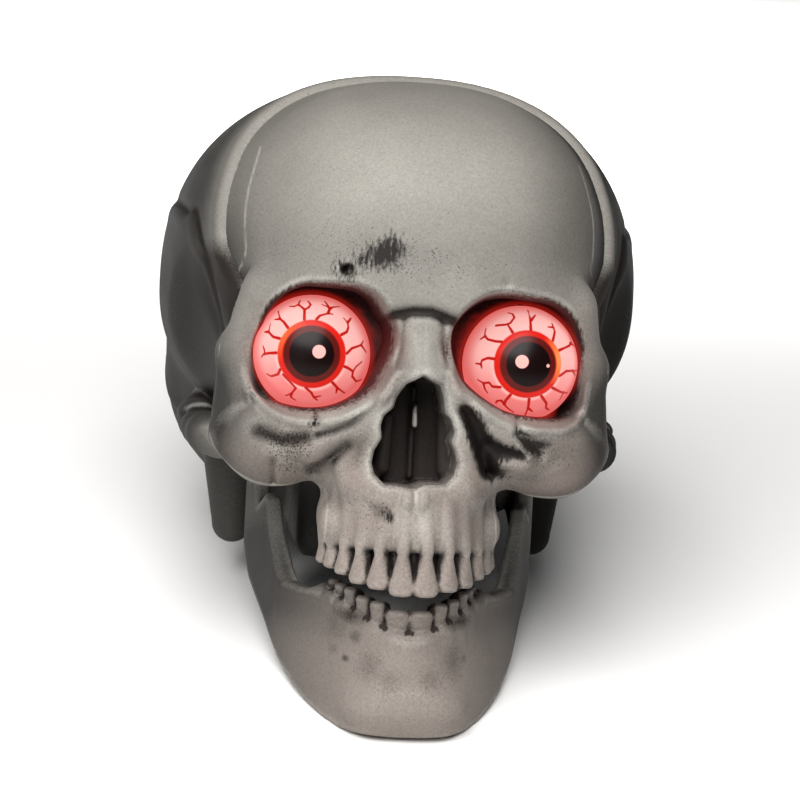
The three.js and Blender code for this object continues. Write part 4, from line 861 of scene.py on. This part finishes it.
# Printed veins of each eye, as lines of (degrees from the gaze, degrees round it), and half their width at both ends
VEIN_WIDTHS = (0.44, 0.24)
NO_PRINT = 9.0  # stands for the distance to a vein or glint where there is none near
VEINS = {
    -1: [
        [(36, 105), (49, 102), (59, 108), (67, 105)], [(59, 108), (58, 113), (62, 118)],
        [(49, 102), (51, 97), (56, 94), (63, 97)], [(36, 85), (41, 81), (47, 71), (49, 65)],
        [(47, 71), (54, 71), (56, 72), (58, 81)], [(56, 72), (66, 79)], [(54, 71), (59, 69), (68, 62)],
        [(36, 36), (44, 35), (50, 39), (53, 44), (54, 51)], [(53, 44), (64, 45)],
        [(36, 4), (43, 11), (58, 13), (64, 17)], [(58, 13), (64, 7), (68, 4)],
        [(36, 342), (40, 342), (49, 340), (51, 347), (59, 354)], [(49, 340), (51, 334), (62, 331), (74, 336)],
        [(36, 309), (45, 310), (60, 313)], [(45, 310), (51, 305)], [(35, 263), (40, 272), (47, 276), (52, 280)],
        [(47, 276), (46, 285)], [(36, 209), (41, 214), (51, 212), (56, 207)],
        [(36, 219), (36, 235), (39, 248), (48, 246), (56, 241)], [(48, 246), (54, 247), (56, 254)],
        [(36, 181), (47, 182), (55, 184), (58, 187)], [(52, 182), (53, 178), (56, 174)],
        [(36, 157), (45, 159), (54, 156), (59, 147)], [(54, 156), (61, 158)],
        [(36, 135), (45, 134), (52, 135), (66, 131)], [(52, 135), (58, 140)]],
    1: [
        [(35, 87), (48, 87), (67, 88)], [(48, 86), (59, 80)], [(36, 118), (47, 118)],
        [(55, 130), (49, 121), (48, 114), (54, 106), (61, 106), (66, 110)],
        [(35, 142), (41, 147), (50, 150), (57, 148), (63, 140)], [(56, 148), (60, 154)],
        [(35, 174), (42, 174), (49, 178), (50, 183), (57, 182)], [(50, 183), (49, 188)],
        [(37, 223), (44, 216), (45, 209), (52, 207), (58, 201)], [(52, 207), (54, 214), (54, 220)],
        [(36, 244), (45, 243), (51, 245), (54, 252), (57, 260)], [(51, 245), (48, 239), (52, 235), (56, 236)],
        [(36, 276), (46, 276), (61, 274)], [(49, 277), (55, 282)], [(36, 297), (49, 301), (56, 299), (64, 302)],
        [(36, 320), (51, 325), (65, 330)], [(55, 327), (60, 318)], [(36, 343), (44, 353), (56, 355), (73, 356)],
        [(56, 355), (69, 350)], [(36, 26), (56, 25), (66, 27), (70, 35)], [(60, 27), (74, 21)],
        [(36, 45), (48, 51), (52, 55), (57, 59)], [(52, 55), (47, 62)]],
}


def eye_marks(offsets, side):
    """The print of an eyeball at offsets from its middle: angle from the gaze, distances to veins and glints, the
    light beside the iris and the deeper tint below, which is painted shade."""
    look = EYE_PRINTS[side]
    outward = offsets / np.linalg.norm(offsets, axis=1, keepdims=True)
    ahead = np.array(look["gaze"]) / np.linalg.norm(look["gaze"])
    right = np.cross((0, 0, 1), ahead)
    right /= np.linalg.norm(right)
    up = np.cross(ahead, right)

    def direction(polar, turn):
        a, b = math.radians(polar), math.radians(turn)
        return ahead * math.cos(a) + (right * math.cos(b) + up * math.sin(b)) * math.sin(a)

    vein = np.full(len(outward), NO_PRINT)
    for line in VEINS[side]:
        widths = np.linspace(*VEIN_WIDTHS, len(line))
        for begin, stop, first, last in zip(line, line[1:], widths, widths[1:]):
            start, end = direction(*begin), direction(*stop)
            along = end - start
            share = np.clip((outward - start) @ along / (along @ along), 0, 1)
            away = np.linalg.norm(outward - start - share[:, None] * along, axis=1) * EYE_RADIUS
            vein = np.minimum(vein, away - first - share * (last - first))
    glint = np.full(len(outward), NO_PRINT)
    for across, rise, radius in look["glints"]:
        middle = ahead * EYE_RADIUS + right * across + up * rise
        middle /= np.linalg.norm(middle)
        glint = np.minimum(glint, np.linalg.norm(outward - middle, axis=1) * EYE_RADIUS - radius)
    polar = np.degrees(np.arccos(np.clip(outward @ ahead, -1, 1)))
    away = np.linalg.norm(outward - direction(*look["hot"]), axis=1) * EYE_RADIUS
    ring = smoothstep(28.6, 30.5, polar) * smoothstep(36.2, 34.5, polar)
    hot = ring * np.clip(1.2 - away / 6, 0, 1) * look["heat"]
    # Deeper below, a painted shade, and towards the socket, but not on the back of the ball
    tint = smoothstep(36, 40, polar) * smoothstep(90, 86, polar) * (
        0.85 * smoothstep(0.25, -0.7, outward @ up) + 0.55 * smoothstep(50, 76, polar))
    return dict(zip(EYE_MARKS, (polar, vein, glint, hot, np.clip(tint, 0, 1))))


def make_eyeball(name, side):
    """A hollow ball on a neck that goes back through the socket, shaped from a sphere by hand."""
    bpy.ops.object.select_all(action="DESELECT")
    bpy.ops.mesh.primitive_uv_sphere_add(segments=288, ring_count=128, radius=EYE_RADIUS * MM)
    made = bpy.context.object
    made.name = made.data.name = name
    neck_foot = EYE_RADIUS * MM * math.cos(math.radians(NECK_ANGLE))
    bpy.ops.object.mode_set(mode="EDIT")
    bpy.ops.mesh.select_all(action="DESELECT")
    bpy.ops.mesh.select_mode(type="FACE")
    bpy.ops.object.mode_set(mode="OBJECT")
    for face in made.data.polygons:
        face.select = face.center.z > neck_foot
    bpy.ops.object.mode_set(mode="EDIT")
    bpy.ops.mesh.delete(type="FACE")
    bpy.ops.mesh.select_mode(type="EDGE")
    bpy.ops.mesh.select_non_manifold()
    bpy.ops.mesh.extrude_region_move(TRANSFORM_OT_translate={"value": (0, 0, NECK_END * MM - neck_foot)})
    bpy.ops.object.mode_set(mode="OBJECT")
    wall = made.modifiers.new("wall", "SOLIDIFY")
    wall.thickness, wall.offset = EYE_WALL * MM, -1
    bpy.ops.object.modifier_apply(modifier=wall.name)
    bpy.ops.object.shade_smooth_by_angle(angle=math.radians(40))
    # The sphere was shaped with its neck upwards, and is turned to point it back.
    place = vertex_places(made) * METRE
    keep_marks(made, eye_marks(np.stack([place[:, 0], place[:, 2], -place[:, 1]], 1), side))
    middle = Vector((side * EYE[0], EYE[1], EYE[2])) * MM
    made.matrix_world = ROW @ Matrix.Translation(middle) @ Matrix.Rotation(-math.pi / 2, 4, "X")
    bpy.ops.object.transform_apply(location=True, rotation=True, scale=True)
    return made


def number_property(name, description, default, **kind):
    return bpy.props.FloatProperty(name=name, description=description, default=default, **kind)


def angle_property(name, description, degrees):
    return number_property(name, description, math.radians(degrees), subtype="ANGLE")


def colour_property(name, description, code):
    return bpy.props.FloatVectorProperty(name=name, description=description, subtype="COLOR", size=3, min=0, max=1,
                                         default=linear(code))


class SkullSizes(bpy.types.PropertyGroup):
    """Sizes of the moulded bones."""
    wall: number_property("Wall", "Thickness of the moulded shells", 0.003, unit="LENGTH")
    seam_gap: number_property("Seam gap", "Gap between face and rear shell", 0.0003, unit="LENGTH")
    lip_rise: number_property("Lip rise", "How far the rear shell's lip stands over the face", 0.0015, unit="LENGTH")
    lip_reach: number_property("Lip reach", "How far that lip reaches over the face", 0.0009, unit="LENGTH")
    bead_rise: number_property("Bead rise", "Height of the rolled bead along that lip", 0.0007, unit="LENGTH")
    plate_rise: number_property("Plate rise", "How far the raised plate on each side stands out", 0.0006, unit="LENGTH")
    face_step: number_property("Face mesh step", "Spacing of the face's mesh", 0.00068, unit="LENGTH")
    rear_step: number_property("Rear mesh step", "Spacing of the rear shell's mesh", 0.0009, unit="LENGTH")
    jaw_step: number_property("Jaw mesh step", "Spacing of the jaw's mesh", 0.0006, unit="LENGTH")


class SkullPaint(bpy.types.PropertyGroup):
    """Colours of the painted bones."""
    bone: colour_property("Bone", "Sprayed bone grey", "#928E87")
    bone_dim: colour_property("Bone, dim", "Darker clouds of the spray", "#7F7B74")
    tooth: colour_property("Teeth", "Paint of the teeth", "#857F78")
    warm: colour_property("Warm bone", "Browner grey low on the skull", "#8A7A73")
    # Painted shade: the dark grey that the shade mark lays over the sides, back, crown and lower face
    side: colour_property("Sides", "Dark grey sprayed over sides and back", "#201F1E")
    # Wear on the edges, and painted highlights on the lip, the mould line and below the nose
    rubbed_and_highlight: colour_property("Rubbed edges", "Lighter edges", "#B4B1A9")
    # A brown wash in the hollows that also paints their shade
    wash_and_shade: colour_property("Wash", "Brown wash in the hollows", "#1A1411")
    stain: colour_property("Stain", "Feathered brown stains", "#140E0C")
    socket: colour_property("Socket", "Inside of the eye sockets", "#281718")
    nose: colour_property("Nose", "Inside of the nose", "#2B2422")
    # Painted glow: the red light of the eyes, laid on the sockets as emission
    glow: colour_property("Glow", "Light of the eyes on the socket", "#BE2218")


class EyeLook(bpy.types.PropertyGroup):
    """Print and light of the eyes."""
    pupil_edge: number_property("Pupil edge", "Degrees from the gaze", 22.6)
    iris_edge: number_property("Iris edge", "Degrees from the gaze", 29.1)
    ring_edge: number_property("Ring edge", "Degrees from the gaze", 35.4)
    glow: number_property("Glow", "Strength of the light from inside", 0.9)
    pupil: colour_property("Pupil", "Printed pupil", "#0A0303")
    iris: colour_property("Iris", "Dark brown-red ring", "#5A1410")
    ring: colour_property("Ring", "Bright red ring", "#D21E14")
    white: colour_property("White", "Lit milky plastic", "#F7B4AE")
    rim: colour_property("Rim", "Deeper tint towards the socket", "#E24A40")
    # Painted shade: deeper pink on the lower side of the ball
    lower_shade_pink: colour_property("Blush", "Deeper pink low on the ball", "#E86E6C")
    vein: colour_property("Veins", "Printed veins", "#B81812")
    hot: colour_property("Hot spot", "Orange light beside the iris", "#FF8A4A")
    glint: colour_property("Glint", "Printed highlight", "#F7B4AC")


class StageLook(bpy.types.PropertyGroup):
    """Camera and light."""
    azimuth: angle_property("Azimuth", "Camera's turn round the skull", -5.5)
    elevation: angle_property("Elevation", "Camera's rise over the skull's level", 2)
    roll: angle_property("Roll", "Camera's roll", 3)
    distance: number_property("Distance", "Camera to skull", 0.75, unit="LENGTH")
    lens: number_property("Lens", "Focal length in mm on a 36 mm sensor", 109.71)
    key: number_property("Key light", "Power in watts", 20)
    fill: number_property("Fill light", "Power in watts", 0.6)
    backdrop: number_property("Backdrop light", "Power in watts over the floor behind", 13)
    room: number_property("Room light", "Strength of the light from all round", 0.07)
    floor: colour_property("Floor", "Pale matt floor", "#F2F1EF")


def ride_for(made, node, body, material):
    """A new piece stands for a CAD node, moves with its body and takes the finish that it is given."""
    made.data.materials.append(material)
    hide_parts(node)
    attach(made, body)


def bone_material():
    """The paint that all bones share, made once."""
    return bpy.data.materials.get(BONE_FINISH) or painted_bone(bpy.context.scene.skull_paint)


FAR_MARK = 5.0  # stands for a distance where nothing is near
# Painted shade, and browner paint: each row adds its strength times a soft step along each coordinate that it names.
# Wide is the distance from the middle, and behind the distance behind the seam.
FACE_SHADE = [
    (0.5, ("wide", 22, 48), ("z", 24, 0)), (0.36, ("wide", 22, 48), ("z", 26, 44)), (0.36, ("z", 72, 98)),
    (0.1, ("z", -12, -20)), (0.15, ("wide", 42, 56), ("y", -78, -54)),
    (0.45, ("wide", 42, 56), ("y", -78, -54), ("z", 66, 40)), (0.2, ("x", 10, 50), ("z", 30, 60)),
    (0.3, ("x", 44, 54), ("z", 44, 10)), (0.26, ("x", 6, 18), ("z", -14, -22)), (0.2, ("x", -46, -54), ("z", 34, 10)),
]
FACE_WARMTH = [(0.5, ("z", 6, -14)), (0.25, ("x", 20, 50), ("z", 50, 20))]
REAR_SHADE = [
    (0.14,), (0.34, ("behind", -0.6, 1.8)), (0.34, ("behind", 1.5, 13)), (0.14, ("wide", 46, 66), ("z", 98, 80)),
]
# Painted shade on the far side, away from the key light
REAR_FAR_SIDE_SHADE = [(0.75, ("x", 12, 36), ("behind", 0.6, 3), ("y", 50, 0))]
JAW_SHADE = [
    (0.1,), (0.42, ("wide", 8, 32)), (0.3, ("y", -60, -24)), (0.24, ("z", -66, -52)), (0.16, ("wide", 34, 42)),
]
JAW_WARMTH = [(0.45,)]
# The most painted shade on the face and jaw, and on the rear before the painted shade of its far side is added
MOST_SHADE, MOST_REAR_SHADE = 0.92, 0.97
# Soft patches on the face: strength, centre and reach
# Patches of painted shade
FACE_SHADE_PATCHES = [
    (0.7, (-7.5, -86, 12), (7, 20, 16)), (0.35, (-16, -80, -4), (11, 30, 11)),
    (0.35, (29, -74, -2.4), (11, 30, 8)), (0.34, (-6, -86, 45), (60, 50, 20)),
]
FACE_SPATTER = [
    (0.7, (-14, -84, 47), (30, 40, 14)), (0.35, (16, -84, 44), (26, 30, 10)), (1.1, (-35, -76, -5), (13, 30, 7)),
    (1.1, (-34, -76, -11), (9, 30, 7)), (1.0, (34, -76, -5), (12, 30, 8)), (0.8, (7, -84, 20), (4, 30, 9)),
    (0.7, (-13, -88, -24), (10, 20, 8)),
]
# Smears of wash on the front of the jaw, partly painted shade beside its middle ridge: x, z, strength, half width and
# half height
JAW_SMEARS_AND_SHADE = [
    (-17, -53, 0.75, 11, 3.6), (15, -53.4, 0.7, 10, 3.4), (-20, -63.1, 0.5, 2.8, 3), (-16.6, -64.9, 0.75, 1.7, 1.6),
    (-14.4, -58.6, 0.5, 3, 3.4), (16.2, -63.6, 0.5, 2, 2.8), (-5, -70, 0.4, 7, 9), (6, -69, 0.4, 7, 9),
    (-10, -66, 0.42, 8, 10), (13, -64, 0.45, 8, 10), (-22, -57, 0.5, 8, 8),
]


def coordinates(points):
    """The coordinates that paint follows, at each point."""
    x, y, z = points.T
    return {"x": x, "y": y, "z": z, "wide": np.abs(x), "behind": behind_seam(y, z)}


def graded(at, rows):
    """Rows of soft steps added up."""
    return sum(strength * math.prod(smoothstep(low, high, at[name]) for name, low, high in steps)
               for strength, *steps in rows)


def patches(points, rows):
    """Soft patches added up."""
    return sum(strength * blot(points, centre, reach) for strength, centre, reach in rows)


def marks_for(form, whole, points):
    """The marks that every bone starts with: the hollows and edges of its form, and nothing else yet."""
    marks = {name: np.full(len(points), FAR_MARK if name in DISTANCE_MARKS else 0.0) for name in BONE_MARKS}
    marks["hollow"], marks["edge"] = hollows_and_edges(form, points, normals(whole, points))
    return marks


def tooth_marks(marks, points, row):
    """Paint of a row of teeth, and the dark gaps between them at the gum."""
    x, y, z = points.T
    away = teeth((x, y, z), row)
    gum = row["gum"] + np.interp(np.abs(x), [place[0] for place in tooth_places(row)], row["root_rises"])
    out = np.sign(row["crown"] - row["gum"]) * (z - gum)
    marks["tooth"] = away + 3 * smoothstep(0.5, -1.5, out)
    beside = np.minimum.reduce([np.hypot(np.abs(x) - cx, y - cy) / width for cx, cy, _, width in tooth_places(row)])
    parted = smoothstep(0.46, 0.58, beside) * smoothstep(1.2, 0.2, away) * smoothstep(0, 1, out)
    marks["edge"] = marks["edge"] * (1 - parted)
    marks["hollow"] = np.maximum(marks["hollow"], 0.7 * parted)
    # The stain at the gum, on the outer side of the row alone
    near = (smoothstep(row["stained"], 0.6 * row["stained"], away) * smoothstep(11, 9, out)
            * smoothstep(0.28, 0.4, beside))
    outer = np.hypot(x / row["half"], (y - row["front"]) / row["depth"] - 1) > 0.88
    marks["gum"] = (smoothstep(0.05, 0.45, away) * near * smoothstep(row["stain_from"], row["stain_from"] + 1, out)
                    * outer * (y < -60))


def face_marks(form, points):
    """Paint of the face: wash and smears in its hollows, which also paint their shade, sprayed sockets and nose,
    stains, spatter, a painted highlight below the nose, and painted shade on its sides.
    """
    marks = marks_for(face_form, form, points)
    at = coordinates(points)
    x, y, z, wide, behind = at.values()
    mouth, stain = socket_mouth(x, z), brushed(x, z)
    front = smoothstep(-52, -60, y)
    tooth_marks(marks, points, UPPER)
    # No wash and painted shade along the lip of the rear shell, nor between the bumps below the nose
    marks["hollow"] *= 1 - 0.85 * smoothstep(-18, -9, behind) * smoothstep(36, 46, z) * smoothstep(40, 0, x)
    marks["hollow"] *= 1 - blot(points, (-0.7, -90, -20), (7, 12, 7))
    smears_and_shade = [strength * smoothstep(soft, -soft, outline(x, z, line)) * front for strength, soft, line in SMEARS_AND_SHADE]
    # Painted shade in the drawn grooves
    grooves = 0.5 * face_relief((x, y, z))
    marks["hollow"] = np.clip(np.maximum.reduce([marks["hollow"], grooves, *smears_and_shade]), 0, 1)
    marks["socket"] = np.clip(mouth, -FAR_MARK, FAR_MARK)
    # Painted glow: red light of the eyes close round the eyeballs, and a little of it beside the nose
    marks["glow"] = (0.52 * smoothstep(1.9, 0.2, eyeball_gap((x, y, z))) * smoothstep(0.4, -0.4, mouth)
                     + 0.07 * smoothstep(6, 1, mouth) * smoothstep(16, 9, wide) * smoothstep(32, 22, z) * front)
    # Not rubbed at the hole in the left brow, and a painted highlight below the nose
    marks["edge"] = (marks["edge"] * (1 - blot(points, (-22.4, -86, 42), (5, 14, 5)))
                     + 0.3 * blot(points, (1, -90, -25), (11, 20, 10)))
    # The edge of the thin wall in the nose keeps its bone grey.
    gleam = smoothstep(1.4, 0.6, np.abs(x + 0.6)) * smoothstep(3.6, 2.4, np.abs(z - 2.7)) * smoothstep(-72, -76, y)
    marks["nose"] = np.where(y < -62, np.clip(nose_hole(x, z), -FAR_MARK, FAR_MARK) + 6 * gleam, FAR_MARK)
    # The stains over the left eye have a wider fringe.
    stain = np.clip(np.where(z > 38, 0.42 * stain - 0.25, stain), -FAR_MARK, FAR_MARK)
    marks["stain"] = np.where(y < -60, stain, FAR_MARK)
    marks["speckle"] = np.clip(patches(points, FACE_SPATTER), 0, 1)
    # Painted shade over the sides, the crown and the lower face, and in patches
    marks["shade"] = np.clip(graded(at, FACE_SHADE) + patches(points, FACE_SHADE_PATCHES), 0, MOST_SHADE)
    marks["warm"] = graded(at, FACE_WARMTH)
    moulded = np.clip(to_line(wide, z, MOULD_LINE), 0, FAR_MARK)
    marks["mould_line"] = np.where(y < np.where(z > 30, -20, -61), moulded, FAR_MARK)
    return marks


def rear_marks(outside, form, points):
    """Painted shade on the rear: darker away from its lip, and darkest on the far side, in the temples and round its
    plates.
    """
    marks = marks_for(outside, form, points)
    at = coordinates(points)
    y, z, wide = at["y"], at["z"], at["wide"]
    marks["shade"] = np.clip(graded(at, REAR_SHADE), 0, MOST_REAR_SHADE) + graded(at, REAR_FAR_SIDE_SHADE)
    # Painted shade in the temples and in the crease round each raised plate
    temple = 2.2 * blot(np.stack([wide, y, z], 1), (54, -46, 32), (24, 22, 20))
    crease = 0.8 * np.exp(-((side_plate(y, z) - 1) / 1.1) ** 2) * smoothstep(40, 48, wide)
    marks["hollow"] = np.clip(np.maximum.reduce([marks["hollow"], temple, crease]), 0, 1)
    return marks


def jaw_marks(form, points):
    """Paint of the jaw: smears on its front, which is bowed, partly painted shade, and painted shade on its sides."""
    marks = marks_for(form, form, points)
    at = coordinates(points)
    tooth_marks(marks, points, LOWER)
    smears_and_shade = [strength * blot(points, (x, 0.02 * x * x - 84, z), (half_width, 14, half_height))
              for x, z, strength, half_width, half_height in JAW_SMEARS_AND_SHADE]
    marks["hollow"] = np.clip(np.maximum.reduce([marks["hollow"], *smears_and_shade]), 0, 1)
    marks["warm"] += graded(at, JAW_WARMTH)
    marks["shade"] = np.clip(graded(at, JAW_SHADE), 0, MOST_SHADE)
    return marks


class SKULL_OT_face_shell(bpy.types.Operator):
    """Moulds the face shell with its sockets, nose and upper teeth"""
    bl_idname = "skull.face_shell"
    bl_label = "Face shell"

    def execute(self, context):
        sizes = context.scene.skull_sizes

        def form(p):
            return face_shell_form(p, sizes)

        made, points = bone_object("face_shell_moulding", form, (-60, -100, -52), (60, -2, 106),
                                   sizes.face_step * METRE)
        keep_marks(made, face_marks(form, points))
        ride_for(made, "face_shell", "skull", bone_material())
        return {"FINISHED"}


class SKULL_OT_rear_shell(bpy.types.Operator):
    """Moulds the rear shell with its braincase, cheek arches, mastoids and base"""
    bl_idname = "skull.rear_shell"
    bl_label = "Rear shell"

    def execute(self, context):
        sizes = context.scene.skull_sizes

        def outside(p):
            return rear_outside(p, sizes)

        def form(p):
            return np.maximum(rear_shell_form(p, sizes), -standing_floor(p))

        made, points = bone_object("rear_shell_moulding", form, (-77, -66, -45), (77, 88, 105),
                                   sizes.rear_step * METRE)
        keep_marks(made, rear_marks(outside, form, points))
        ride_for(made, "rear_shell", "skull", bone_material())
        return {"FINISHED"}


class SKULL_OT_jaw(bpy.types.Operator):
    """Moulds the lower jaw with its hinge eyes and lower teeth"""
    bl_idname = "skull.jaw"
    bl_label = "Jaw"

    def execute(self, context):
        sizes = context.scene.skull_sizes

        def form(p):
            return np.maximum(jaw_form(p), -standing_floor(p))

        made, points = bone_object("jaw_moulding", form, (-48, -94, -90), (48, -2, -4), sizes.jaw_step * METRE)
        keep_marks(made, jaw_marks(form, points))
        ride_for(made, "jaw", "jaw", bone_material())
        return {"FINISHED"}


class SKULL_OT_eyeballs(bpy.types.Operator):
    """Makes both printed eyeballs"""
    bl_idname = "skull.eyeballs"
    bl_label = "Eyeballs"

    def execute(self, context):
        material = printed_eye(context.scene.skull_eyes)
        left = make_eyeball("eyeball_left_printed", -1)
        right = make_eyeball("eyeball_right_printed", 1)
        ride_for(left, "eyeball_left", "skull", material)
        ride_for(right, "eyeball_right", "skull", material)
        return {"FINISHED"}


class SKULL_OT_fittings(bpy.types.Operator):
    """Finishes the screws, base plate, battery bay, switch, board and leads"""
    bl_idname = "skull.fittings"
    bl_label = "Fittings"

    def execute(self, context):
        finishes = {
            "bone": bone_material(),
            "lit_eye": bpy.data.materials[EYE_FINISH],
            "black_plastic": plain_finish("moulded_black_plastic", "#1F1E1E", "#151414", 0.5),
            "grey_plastic": plain_finish("moulded_grey_plastic", "#4E4E52", "#414145", 0.55),
            "led": plain_finish("clear_red_lens", "#E0261C", "#B01812", 0.15, glow=2.0),
            "red_lead": plain_finish("red_vinyl_insulation", "#A5201A", "#8E1A15", 0.4),
            "black_lead": plain_finish("black_vinyl_insulation", "#1A1A1A", "#111111", 0.4),
            "steel": plain_finish("zinc_plated_steel", "#C2C4C6", "#A9ABAD", 0.32, metallic=1.0, grain_mm=0.4),
            "cell_jacket": cell_jacket(),
            "board": solder_mask(),
        }
        for subpart in frame["record"]["subparts"]:
            node = frame["nodes"][subpart["node"]]
            node.data.materials.clear()
            node.data.materials.append(finishes[subpart["material_slot"]])
        return {"FINISHED"}


FLOOR_SIZE = 8  # m
SENSOR_WIDTH = 36  # mm
# What the camera looks at and the lights aim at, and the places and sizes of the lights, in the skull's frame in metres
CAMERA_TARGET, LIGHT_AIM = (0.0023, 0, 0.0045), (0, -0.06, 0.02)
KEY_PLACE, KEY_SIZE = (-0.2, -0.76, 0.64), 0.9
FILL_PLACE, FILL_SIZE = (-0.5, -0.9, 0.0), 0.6
# The light over the floor behind, in the frame that the decoration stands in: place and size in metres, and its spread
# in degrees
BACKDROP_PLACE, BACKDROP_SIZE, BACKDROP_SPREAD = (0, 0.72, 0.6), (2.4, 0.5), 66


class SKULL_OT_stage(bpy.types.Operator):
    """Sets the floor, the light and the camera"""
    bl_idname = "skull.stage"
    bl_label = "Stage"

    def execute(self, context):
        look = context.scene.skull_stage
        bpy.ops.object.select_all(action="DESELECT")
        bpy.ops.mesh.primitive_plane_add(size=FLOOR_SIZE)
        floor = context.object
        floor.name = "floor"
        # Matt card, with soft clouds of about 300 mm in its roughness
        material, tree, shader, place = new_material("pale_matt_floor")
        cloud = add(tree, "ShaderNodeTexNoise", {"Scale": METRE / 300}, {"Vector": place}).outputs["Fac"]
        rough = add(tree, "ShaderNodeMapRange", {"To Min": 0.8, "To Max": 0.9}, {"Value": cloud}).outputs["Result"]
        tree.links.new(rough, shader.inputs["Roughness"])
        shader.inputs["Base Color"].default_value = (*look.floor, 1)
        floor.data.materials.append(material)
        floor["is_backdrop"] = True

        a, e = look.azimuth, look.elevation
        back = Vector((math.sin(a) * math.cos(e), -math.cos(a) * math.cos(e), math.sin(e)))
        target = Vector(CAMERA_TARGET)
        turn = (-back).to_track_quat("-Z", "Y").to_matrix() @ Matrix.Rotation(look.roll, 3, "Z")
        bpy.ops.object.camera_add()
        camera = context.object
        camera.matrix_world = ROW @ Matrix.Translation(target + back * look.distance) @ turn.to_4x4()
        camera.data.lens, camera.data.sensor_width = look.lens, SENSOR_WIDTH
        context.scene.camera = camera

        aim = ROW @ Vector(LIGHT_AIM)
        for name, place, size, power in (("key", KEY_PLACE, KEY_SIZE, look.key),
                                         ("fill", FILL_PLACE, FILL_SIZE, look.fill)):
            bpy.ops.object.light_add(type="AREA")
            light = context.object
            light.name = name
            light.data.size, light.data.energy = size, power
            spot = ROW @ Vector(place)
            light.matrix_world = Matrix.Translation(spot) @ (aim - spot).to_track_quat("-Z", "Y").to_matrix().to_4x4()
        bpy.ops.object.light_add(type="AREA", location=BACKDROP_PLACE)
        backdrop = context.object
        backdrop.name = "backdrop"
        backdrop.data.shape = "RECTANGLE"
        backdrop.data.size, backdrop.data.size_y = BACKDROP_SIZE
        backdrop.data.energy, backdrop.data.spread = look.backdrop, math.radians(BACKDROP_SPREAD)
        world = bpy.data.worlds.new("soft_room")
        world.use_nodes = True
        background = world.node_tree.nodes["Background"]
        background.inputs["Color"].default_value = (*linear("#F3F3F5"), 1)
        background.inputs["Strength"].default_value = look.room
        context.scene.world = world
        context.scene.view_settings.view_transform = "Standard"
        return {"FINISHED"}


class SKULL_PT_panel(bpy.types.Panel):
    """Lists the steps and the values that a user would change"""
    bl_idname = "SKULL_PT_panel"
    bl_label = "Skull"
    bl_space_type = "VIEW_3D"
    bl_region_type = "UI"
    bl_category = "Skull"

    def draw(self, context):
        for step in STEPS:
            self.layout.operator(step.bl_idname)
        for name in GROUPS:
            box = self.layout.box()
            group = getattr(context.scene, name)
            for key in group.__annotations__:
                box.prop(group, key)


STEPS = (SKULL_OT_face_shell, SKULL_OT_rear_shell, SKULL_OT_jaw, SKULL_OT_eyeballs, SKULL_OT_fittings, SKULL_OT_stage)
GROUPS = {"skull_sizes": SkullSizes, "skull_paint": SkullPaint, "skull_eyes": EyeLook, "skull_stage": StageLook}


def register():
    for item in (*GROUPS.values(), *STEPS, SKULL_PT_panel):
        bpy.utils.register_class(item)
    for name, group in GROUPS.items():
        setattr(bpy.types.Scene, name, bpy.props.PointerProperty(type=group))


def unregister():
    for name in GROUPS:
        delattr(bpy.types.Scene, name)
    for item in (SKULL_PT_panel, *reversed(STEPS), *reversed(list(GROUPS.values()))):
        bpy.utils.unregister_class(item)


def main():
    register()
    bpy.ops.skull.face_shell()
    bpy.ops.skull.rear_shell()
    bpy.ops.skull.jaw()
    bpy.ops.skull.eyeballs()
    bpy.ops.skull.fittings()
    bpy.ops.skull.stage()
    boxes = {"cad": CAD_BOX, "visual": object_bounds()}
    {name: [list(corner) for corner in box] for name, box in boxes.items()}


if __name__ == "__main__":
    main()
